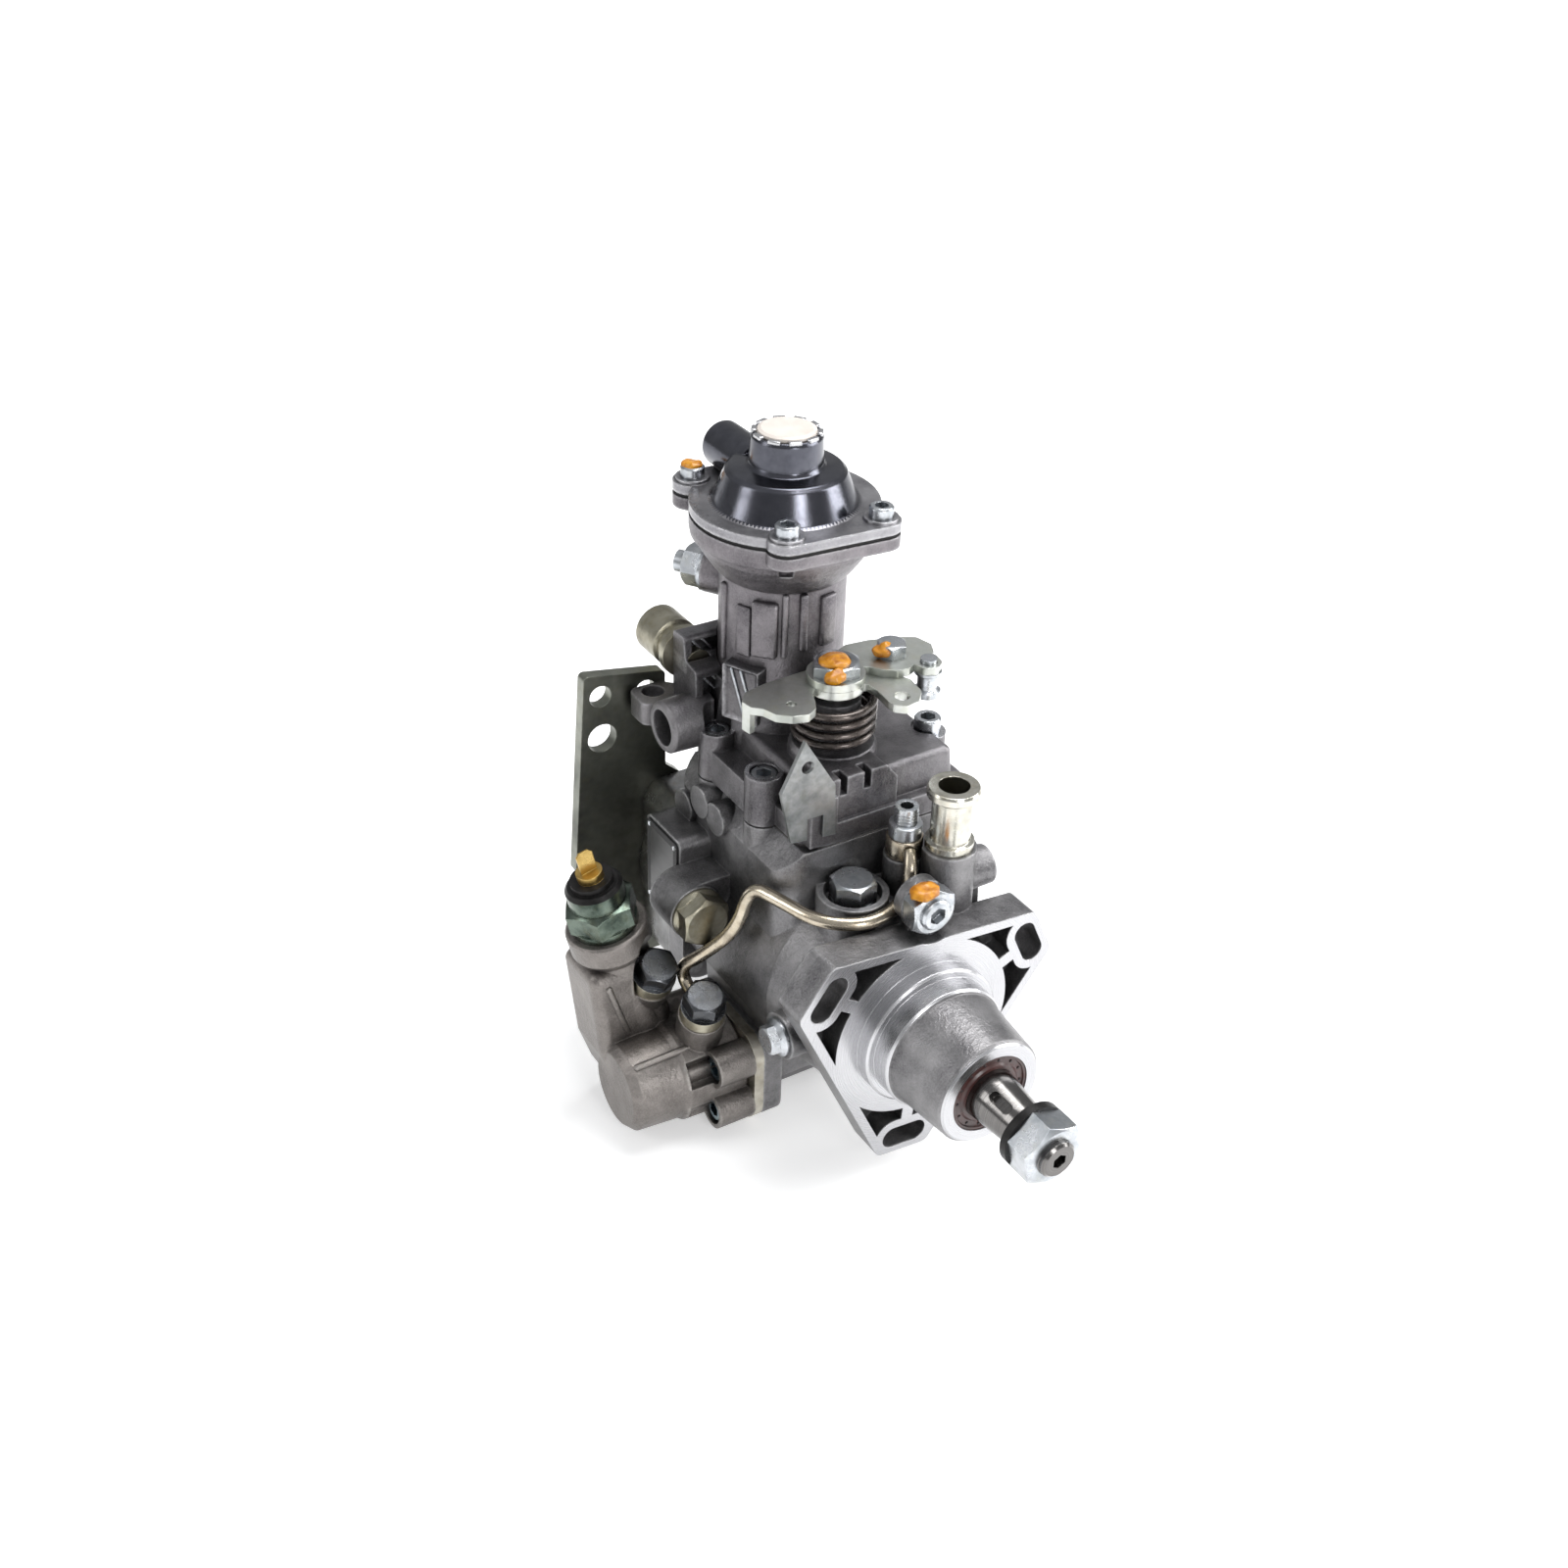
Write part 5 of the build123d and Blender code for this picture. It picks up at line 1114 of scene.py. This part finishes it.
@dataclass
class Body:
    """Fittings on the housing."""

    paint: Paint
    plug_split: float = 42.0
    overflow: Thread = Thread(4.0, 1.25, 6.2, 0.45)
    overflow_at: Point = (9.5, 31.5, 67.8)
    outlet: Thread = Thread(5.85, 1.5, 14.0, 0.45)
    outlet_circle: float = 21.5
    outlet_from: float = 162.0
    pipe_radius: float = 2.5
    pipe_route: tuple[Point, ...] = (
        (7.5, 25.4, 58.6), (5.0, 20.0, 55.0), (3.5, 20.5, 43.0), (-9.0, 14.7, 43.0),
        (-20.0, 15.0, 43.0), (-31.5, 24.0, 43.0), (-36.3, 41.0, 43.0), (-40.5, 54.0, 43.0),
        (-43.5, 57.5, 22.0), (-53.0, 68.0, 6.0), (-57.5, 73.5, 0.0), (-56.48, 74.0, -7.85),
        (-56.36, 68.6, -9.64),
    )
    eye_radius: float = 6.7
    eye_bore: float = 4.15
    eye_at: Point = (9.5, 31.5, 57.95)
    eye_height: float = 7.9
    valve_paint: Dab = Dab("valve_paint", (6.4, 5.0, 2.6), (-0.4, 4.6, 57.0), "pump", 11)
    rivet_size: Point = (0.55, 1.15, 1.15)
    rivets_at: tuple[Point, ...] = (
        (-48.9, 95.4, 4.4), (-48.9, 114.6, 4.4), (-48.9, 95.4, 36.6), (-48.9, 114.6, 36.6),
    )

    def upper_plug(self, c: np.ndarray, n: np.ndarray) -> np.ndarray:
        """Plug on the top of the housing."""
        return c[:, 2] > self.plug_split

    def dress(self) -> None:
        """Finishes of the nodes on the housing."""
        self.paint.dress("housing_plugs", Finish.OLIVE_ZINC, [(Finish.ZINC, self.upper_plug)])
        self.paint.dress_plain({
            Finish.ZINC: "lock_bolt head_bolts overflow_stud cover_screws pressure_valve "
                         "head_fittings",
            Finish.BLUE_ZINC: "timing_screws",
            Finish.WARM_STEEL: "bleed_pipe",
            Finish.NICKEL: "inlet_stub",
            Finish.PLATE: "name_plate",
            Finish.BRACKET: "rear_bracket",
            Finish.GREEN_ZINC: "shutoff_solenoid",
            Finish.CAST_BODY: "timing_cover",
            Finish.STEEL: "distributor_head governor_shaft plunger_springs timing_spring "
                          "timing_piston flyweight_carrier flyweights governor_sleeve "
                          "governor_lever control_collar governor_spring",
        })

    def threads(self) -> None:
        """Threads of the overflow stud and the outlets."""
        piece = thread(self.overflow, self.overflow_at, (0.0, 0.0, 1.0))
        self.paint.coat(piece, Finish.ZINC, "overflow_thread")
        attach(piece, "pump")
        rings = []
        for turn in (45.0, 135.0, 225.0, 315.0):
            x, z = polar((0.0, 0.0), self.outlet_circle, turn)
            rings.append(thread(self.outlet, (x, self.outlet_from, z), (0.0, 1.0, 0.0)))
        piece = join(rings)
        self.paint.coat(piece, Finish.ZINC, "outlet_threads")
        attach(piece, "pump")

    def tube(self) -> Piece:
        """The bleed pipe without its ring, swept along a smooth curve.

        Returns:
            The pipe.
        """
        data = bpy.data.curves.new("tube", "CURVE")
        data.dimensions = "3D"
        data.bevel_depth = self.pipe_radius * MM
        data.bevel_resolution = 6
        data.resolution_u = 16
        data.use_fill_caps = True
        spline = data.splines.new("NURBS")
        spline.points.add(len(self.pipe_route) - 1)
        for point, spot in zip(spline.points, self.pipe_route):
            point.co = (*metres(spot), 1.0)
        spline.order_u = 3
        spline.use_endpoint_u = True
        curve = bpy.data.objects.new("tube", data)
        bpy.context.scene.collection.objects.link(curve)
        only(curve)
        bpy.ops.object.convert(target="MESH")
        piece = bpy.context.object
        outward(piece)
        return piece

    def pipe(self) -> None:
        """Bent steel pipe with its ring, from the overflow to the cold-start advance."""
        tube = self.tube()
        clear()
        bpy.ops.mesh.primitive_cylinder_add(
            vertices=56, radius=self.eye_radius * MM, depth=self.eye_height * MM,
            end_fill_type="NOTHING", location=metres(self.eye_at),
        )
        eye = bpy.context.object
        settle(eye)
        wall = eye.modifiers.new("wall", "SOLIDIFY")
        wall.thickness = (self.eye_radius - self.eye_bore) * MM
        wall.offset = -1.0
        bevel(eye, 0.4)
        piece = join([tube, eye])
        smooth(piece, 40.0)
        self.paint.coat(piece, Finish.WARM_STEEL, "bleed_tube")
        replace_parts(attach(piece, "pump"), "bleed_pipe")

    def seal_paint(self) -> None:
        """Tamper paint on the pressure valve."""
        self.paint.dab(self.valve_paint)

    def rivets(self) -> None:
        """Four rivets on the name plate."""
        piece = join([blob(self.rivet_size, at) for at in self.rivets_at])
        self.paint.coat(piece, Finish.ZINC, "plate_rivets")
        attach(piece, "pump")


@dataclass
class ColdStart:
    """Cold-start advance on the left."""

    paint: Paint
    arm_top: Point = (-81.0, 89.0, 18.5)
    arm_way: Point = (-12.0, 1.0, 50.5)
    collar_from: float = 18.6
    collar_to: float = 22.6
    washer_height: float = 5.38
    bolt_reach: float = 14.0
    bolts: tuple[Line, ...] = (
        ((-67.5, 80.0, -7.5), (1.0, -8.0, 14.5)), ((-56.0, 61.0, -15.0), (-1.0, -5.0, 15.0)),
    )
    ridge_thick: float = 2.4
    ridge_edge: float = 0.9
    ridge_lines: tuple[Line, ...] = (
        ((-57.0, 59.9, -27.6), (-84.5, 61.2, -29.8)), ((-87.0, 76.3, -1.0), (-79.0, 76.3, -26.0)),
    )
    floor_thick: float = 8.4
    floor_edge: float = 2.0
    pocket_from: float = -66.3
    pocket_to: float = -50.2
    pocket_floors: tuple[tuple[float, float], ...] = (
        (58.1, -38.6), (58.1, -51.4), (81.9, -38.6), (81.9, -51.4),
    )

    def height(self, c: np.ndarray) -> np.ndarray:
        """Height above the arm's top along its axis."""
        return (c - np.array(self.arm_top)) @ np.array(Vector(self.arm_way).normalized())

    def collar(self, c: np.ndarray, n: np.ndarray) -> np.ndarray:
        """Collar of the solenoid."""
        return (self.height(c) > self.collar_from) & (self.height(c) < self.collar_to)

    def blade(self, c: np.ndarray, n: np.ndarray) -> np.ndarray:
        """Terminal of the solenoid."""
        return self.height(c) >= self.collar_to

    def washers(self, c: np.ndarray, n: np.ndarray) -> np.ndarray:
        """Rings under the bolt heads.

        Args:
            c: Face centres in millimetres.
            n: Face normals, not used.

        Returns:
            The test for each face.
        """
        found = np.zeros(len(c), bool)
        for tip, way in self.bolts:
            along = (c - np.array(tip)) @ np.array(Vector(way).normalized())
            off = np.linalg.norm(c - np.array(tip), axis=1)
            found |= (along < self.washer_height) & (off < self.bolt_reach)
        return found

    def dress(self) -> None:
        """Finishes of the cold-start nodes."""
        dress = self.paint.dress
        dress("cold_start_housing", Finish.CAST_COLD)
        dress("cold_start_spacer", Finish.SHIM)
        dress("cold_start_bolts", Finish.GREY_ZINC, [(Finish.YELLOW_ZINC, self.washers)])
        dress("cold_start_solenoid", Finish.GREEN_ZINC,
              [(Finish.BLACK, self.collar), (Finish.BRASS, self.blade)])

    def ridges(self) -> None:
        """Ridges on the drum and the box, and floors that close the screw pockets."""
        bars = [strip(a, b, self.ridge_thick, self.ridge_edge) for a, b in self.ridge_lines]
        for y, z in self.pocket_floors:
            start, end = (self.pocket_from, y, z), (self.pocket_to, y, z)
            bars.append(strip(start, end, self.floor_thick, self.floor_edge))
        piece = join(bars)
        self.paint.coat(piece, Finish.CAST_COLD, "cold_start_ridges")
        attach(piece, "pump")


@dataclass
class TopCover:
    """Governor cover, throttle levers and boost compensator."""

    paint: Paint
    seat_height: float = 80.0
    spring_foot: Point = (0.0, 66.0, 87.1)
    spring_radius: float = 14.0
    spring_wire: float = 1.45
    spring_length: float = 20.3
    spring_turns: float = 4.5
    pressed_wire: float = 1.2
    pressed_springs: tuple[PressedSpring, ...] = (
        PressedSpring("boost_coil", "boost_spring", 11.0, 3.5, (2.0, 106.0, 138.05),
                      (0.0, 0.0, 1.0), 17.9, "boost_slide", 4.1),
        PressedSpring("timing_coil", "timing_spring", 8.0, 4.0, (37.95, 70.0, -45.0),
                      (-1.0, 0.0, 0.0), 24.9, "timing_slide", 6.1),
    )
    boost: tuple[float, float] = (2.0, 106.0)
    dome_foot: float = 166.0
    dome_radius: float = 26.6
    flange_top: float = 162.9
    stakes: int = 10
    stake_circle: float = 11.5
    stake_height: float = 188.1
    stake_size: Point = (2.0, 4.6, 1.5)
    neck_radius: float = 23.2
    rib_depth: float = 5.0
    rib_edge: float = 1.1
    neck_ribs: tuple[Rib, ...] = (
        Rib(176.0, 3.0, 104.0, 135.0, 1.4), Rib(203.0, 6.5, 110.0, 130.0, 1.2),
        Rib(223.5, 9.5, 111.5, 133.5, 2.0), Rib(241.0, 2.4, 111.5, 137.0, 1.5),
        Rib(257.0, 3.0, 114.5, 137.0, 2.1), Rib(282.0, 7.0, 114.5, 134.5, 1.6),
    )
    window_bar: float = 1.0
    window_bars: tuple[Line, ...] = (
        ((-28.6, 109.9, 97.1), (-19.4, 109.9, 85.9)), ((-25.0, 109.9, 97.1), (-15.8, 109.9, 85.9)),
        ((-28.4, 118.4, 108.1), (-23.6, 118.4, 102.4)),
        ((-24.6, 118.4, 108.1), (-19.8, 118.4, 102.4)),
    )
    panel_size: Point = (9.0, 15.0, 22.0)
    panel_frame: float = 1.8
    panel_sink: float = 2.0
    panel_turn: float = 207.0
    panel_proud: float = 5.0
    panel_height: float = 96.0
    panel_bar: float = 1.1
    panel_bars_at: tuple[float, float] = (-1.6, 2.4)
    panel_slant: float = 3.0
    dabs: tuple[Dab, ...] = (
        Dab("nut_paint", (6.4, 5.6, 2.4), (-1.2, 65.2, 118.2), "throttle", 21),
        Dab("nut_paint_run", (4.6, 3.2, 3.4), (-4.2, 59.6, 115.4), "throttle", 23),
        Dab("lever_bolt_paint", (4.4, 3.4, 3.0), (20.6, 66.6, 116.4), "throttle", 25),
        Dab("dome_screw_paint", (4.2, 4.0, 2.0), (-18.4, 136.1, 168.0), "pump", 27),
    )

    def seats(self, c: np.ndarray, n: np.ndarray) -> np.ndarray:
        """Spot-faced screw seats."""
        return near(c[:, 2], self.seat_height, 0.15) & (n[:, 2] > FACING)

    def flange(self, c: np.ndarray, n: np.ndarray) -> np.ndarray:
        """Flange and screw bosses of the dome.

        Args:
            c: Face centres in millimetres.
            n: Face normals.

        Returns:
            The test for each face.
        """
        off = np.hypot(c[:, 0] - self.boost[0], c[:, 1] - self.boost[1])
        top = near(c[:, 2], self.flange_top, 0.02) & (n[:, 2] > FACING)
        edge = (off > self.dome_radius) & (c[:, 2] < self.dome_foot)
        return top | edge | (c[:, 2] < self.flange_top - 0.1)

    def dress(self) -> None:
        """Finishes of the cover, levers and boost nodes."""
        self.paint.dress("governor_cover", Finish.CAST_COVER, [(Finish.TURNED, self.seats)])
        self.paint.dress("boost_cover", Finish.DOME, [(Finish.SATIN, self.flange)])
        self.paint.dress_plain({
            Finish.GASKET: "cover_gasket",
            Finish.TAG: "seal_tag",
            Finish.ZINC_SHEET: "throttle_lever_lower throttle_lever_upper",
            Finish.ZINC: "throttle_fasteners boost_cover_screws boost_plug",
            Finish.CAST_BOOST: "boost_body",
            Finish.CAP: "boost_cap",
            Finish.RUBBER: "boost_diaphragm",
            Finish.STEEL: "throttle_shaft boost_pin",
            Finish.SPRING: "boost_spring throttle_spring",
            Finish.OLIVE_ZINC: "full_load_cap",
        })

    def spring(self) -> None:
        """Return spring of the throttle shaft, wound from round wire."""
        piece = coil(self.spring_wire, self.spring_radius, self.spring_length, self.spring_turns)
        place(piece, self.spring_foot, 0.0)
        self.paint.coat(piece, Finish.SPRING, "throttle_return_spring")
        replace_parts(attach(piece, "pump"), "throttle_spring")

    def inner_springs(self) -> None:
        """Boost and timing springs."""
        for spring in self.pressed_springs:
            piece = coil(self.pressed_wire, spring.radius, spring.length, spring.turns)
            aim(piece, spring.foot, spring.way)
            self.paint.coat(piece, Finish.SPRING, spring.name)
            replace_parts(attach(piece, "pump"), spring.node)
            metres(spring.foot)
            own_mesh(piece)

    def ribs(self) -> None:
        """Upright ribs and panels cast on the boost neck."""
        ribs = []
        for rib in self.neck_ribs:
            reach = self.neck_radius + rib.proud - self.rib_depth / 2.0
            bar = block((self.rib_depth, rib.width, rib.high - rib.low), self.rib_edge)
            at = (*polar(self.boost, reach, rib.turn), (rib.low + rib.high) / 2.0)
            place(bar, at, rib.turn)
            ribs.append(bar)
        piece = join(ribs)
        self.paint.coat(piece, Finish.CAST_BOOST, "neck_ribs")
        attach(piece, "pump")

    def bars(self) -> None:
        """Bright slanted bars in the two windows beside the neck."""
        piece = join([strip(a, b, self.window_bar) for a, b in self.window_bars])
        self.paint.coat(piece, Finish.ZINC, "window_bars")
        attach(piece, "pump")

    def window(self) -> Piece:
        """The panel's block with its sunken face, about the origin.

        Returns:
            The block.
        """
        piece = cube(self.panel_size)
        bpy.ops.object.mode_set(mode="EDIT")
        bpy.ops.mesh.select_all(action="DESELECT")
        bpy.ops.object.mode_set(mode="OBJECT")
        for face in piece.data.polygons:
            face.select = face.normal.x > FACING
        bpy.ops.object.mode_set(mode="EDIT")
        bpy.ops.mesh.inset(thickness=self.panel_frame * MM)
        bpy.ops.transform.translate(value=(-self.panel_sink * MM, 0, 0))
        bpy.ops.object.mode_set(mode="OBJECT")
        bevel(piece, 0.5)
        smooth(piece, 35.0)
        return piece

    def panel(self) -> None:
        """Framed window on the neck's foot with two slanted bars."""
        depth, _, height = self.panel_size
        window = self.window()
        front = depth / 2.0 - self.panel_sink + 0.2
        high = height / 2.0 - self.panel_frame + 0.4
        bars = []
        for y in self.panel_bars_at:
            start = (front, y - self.panel_slant, high)
            end = (front, y + self.panel_slant, -high)
            bars.append(strip(start, end, self.panel_bar))
        slats = join(bars)
        reach = self.neck_radius + self.panel_proud - depth / 2.0
        at = (*polar(self.boost, reach, self.panel_turn), self.panel_height)
        for piece, finish, name, slot in (
            (window, Finish.CAST_COVER, "panel_frame", "cast_cover"),
            (slats, Finish.ZINC, "panel_bars", "zinc"),
        ):
            place(piece, at, self.panel_turn)
            self.paint.coat(piece, finish, name)
            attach(piece, "pump")

    def seal_paint(self) -> None:
        """Tamper paint on the throttle nut, the lever bolt and one dome screw."""
        for dab in self.dabs:
            self.paint.dab(dab)

    def cap_stakes(self) -> None:
        """Small stakes that hold the cap in the dome's neck."""
        stakes = []
        for i in range(self.stakes):
            turn = 360.0 / self.stakes * i
            stake = block(self.stake_size, 0.4)
            place(stake, (*polar(self.boost, self.stake_circle, turn), self.stake_height), turn)
            stakes.append(stake)
        piece = join(stakes)
        self.paint.coat(piece, Finish.TURNED, "cap_stakes")
        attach(piece, "pump")


@dataclass
class Studio:
    """Floor, lights and camera; camera lengths in millimetres, angles in degrees."""

    azimuth: float = -32.75
    elevation: float = 32.94
    roll: float = 1.98
    distance: float = 662.97
    target: Point = (-26.87, 55.37, 80.84)
    lens: float = 43.55
    sensor: float = 36.0
    floor_z: float = -66.2
    floor_size: float = 8.0
    floor_colour: Colour = (0.86, 0.86, 0.86)
    mirrored: float = 0.25
    room_colour: Colour = (0.95, 0.97, 1.0)
    room_fade: tuple[float, float, float, float] = (0.0, 0.9, 0.10, 0.46)
    lamp_target: Point = (-0.02, 0.05, 0.05)
    lamps: tuple[Lamp, ...] = (
        Lamp("top_box", (0.22, 0.12, 0.95), (0.55, 0.55), 8.5),
        Lamp("left_box", (-0.95, 0.35, 0.55), (0.35, 0.6), 2.6),
        Lamp("right_box", (0.85, -0.35, 0.5), (0.5, 0.7), 8.0),
        Lamp("front_strip", (-0.1, -1.0, 0.45), (0.3, 0.5), 4.5),
    )

    def camera(self) -> None:
        """Camera at the photograph's viewpoint."""
        data = bpy.data.cameras.new("camera")
        data.sensor_width = self.sensor
        data.lens = self.lens
        data.clip_start = 0.01
        data.clip_end = 50.0
        camera = bpy.data.objects.new("camera", data)
        bpy.context.scene.collection.objects.link(camera)
        a, e, r = (math.radians(v) for v in (self.azimuth, self.elevation, self.roll))
        back = Vector((math.sin(a) * math.cos(e), -math.cos(a) * math.cos(e), math.sin(e)))
        level = Vector((math.cos(a), math.sin(a), 0.0))
        upright = back.cross(level)
        right = level * math.cos(r) + upright * math.sin(r)
        up = upright * math.cos(r) - level * math.sin(r)
        turn = Matrix((right, up, back)).transposed().to_4x4()
        spot = (Vector(self.target) + back * self.distance) * MM
        camera.matrix_world = Matrix.Translation(spot) @ turn
        bpy.context.scene.camera = camera

    def floor(self) -> None:
        """Plain pale floor that glows towards its edge for seen rays."""
        clear()
        bpy.ops.mesh.primitive_plane_add(
            size=self.floor_size, location=(0, 0, self.floor_z * MM)
        )
        piece = bpy.context.object
        piece.name = "floor"
        s = Shader("floor")
        seen = s.ray("Camera").apply("MAXIMUM", s.ray("Glossy"))
        seen = seen.apply("MAXIMUM", s.ray("Transmission"))
        x, y = s.axis("X"), s.axis("Y")
        away = (x * x + y * y).apply("SQRT")
        lift = s.level(away + s.noise(3.0, 2.0) * 20.0, 180.0, 900.0, 0.42, 0.80) * seen
        glow = s.node("ShaderNodeCombineColor", {}, {0: lift, 1: lift, 2: lift})
        s.finish(Base_Color=self.floor_colour, Roughness=0.8, Emission_Color=glow,
                 Emission_Strength=1.0)
        piece.data.materials.append(s.material)

    def room(self) -> None:
        """Pale room that is white behind the pump and dim in mirror-like surfaces."""
        world = bpy.data.worlds.new("room")
        bpy.context.scene.world = world
        world.use_nodes = True
        g = Graph(world.node_tree)
        way = g.node("ShaderNodeTexCoord", out="Generated")
        height = g.node("ShaderNodeSeparateXYZ", {}, {0: way}, "Z")
        fade = dict(enumerate((height, *self.room_fade)))
        strength = g.node("ShaderNodeMapRange", {}, fade)
        shade = g.node(
            "ShaderNodeBackground", {}, {"Color": self.room_colour, "Strength": strength}
        )
        seen = (g.ray("Glossy") * self.mirrored).apply("MAXIMUM", g.ray("Camera"))
        seen = seen.apply("MAXIMUM", g.ray("Transmission"))
        white = g.node("ShaderNodeBackground", {}, {"Color": (1.0, 1.0, 1.0), "Strength": 1.0})
        blend = g.node("ShaderNodeMixShader", {}, {0: seen, 1: shade, 2: white})
        output = g.tree.nodes.new("ShaderNodeOutputWorld")
        g.tree.links.new(blend.socket, output.inputs["Surface"])

    def lights(self) -> None:
        """Soft boxes aimed at the pump, and the view transform."""
        for lamp in self.lamps:
            data = bpy.data.lights.new(lamp.name, "AREA")
            data.shape = "RECTANGLE"
            data.size, data.size_y = lamp.size
            data.energy = lamp.power
            box = bpy.data.objects.new(lamp.name, data)
            bpy.context.scene.collection.objects.link(box)
            box.location = lamp.at
            way = Vector(self.lamp_target) - Vector(lamp.at)
            box.rotation_mode = "QUATERNION"
            box.rotation_quaternion = way.to_track_quat("-Z", "Y")
        bpy.context.scene.view_settings.view_transform = "Standard"


def main() -> None:
    """Builds everything in order."""
    logging.basicConfig(level=logging.INFO, format="%(name)s %(message)s")
    paint = Paint()
    studio = Studio()
    drive = DriveEnd(paint)
    body = Body(paint)
    cold = ColdStart(paint)
    cover = TopCover(paint)
    for step in (
        studio.camera, studio.floor, studio.room, studio.lights,
        drive.dress, drive.thread, drive.dots,
        body.dress, body.threads, body.pipe, body.seal_paint, body.rivets,
        cold.dress, cold.ridges,
        cover.dress, cover.spring, cover.inner_springs, cover.seal_paint, cover.cap_stakes,
        cover.ribs, cover.bars, cover.panel,
    ):
        step()


if __name__ == "__main__":
    main()
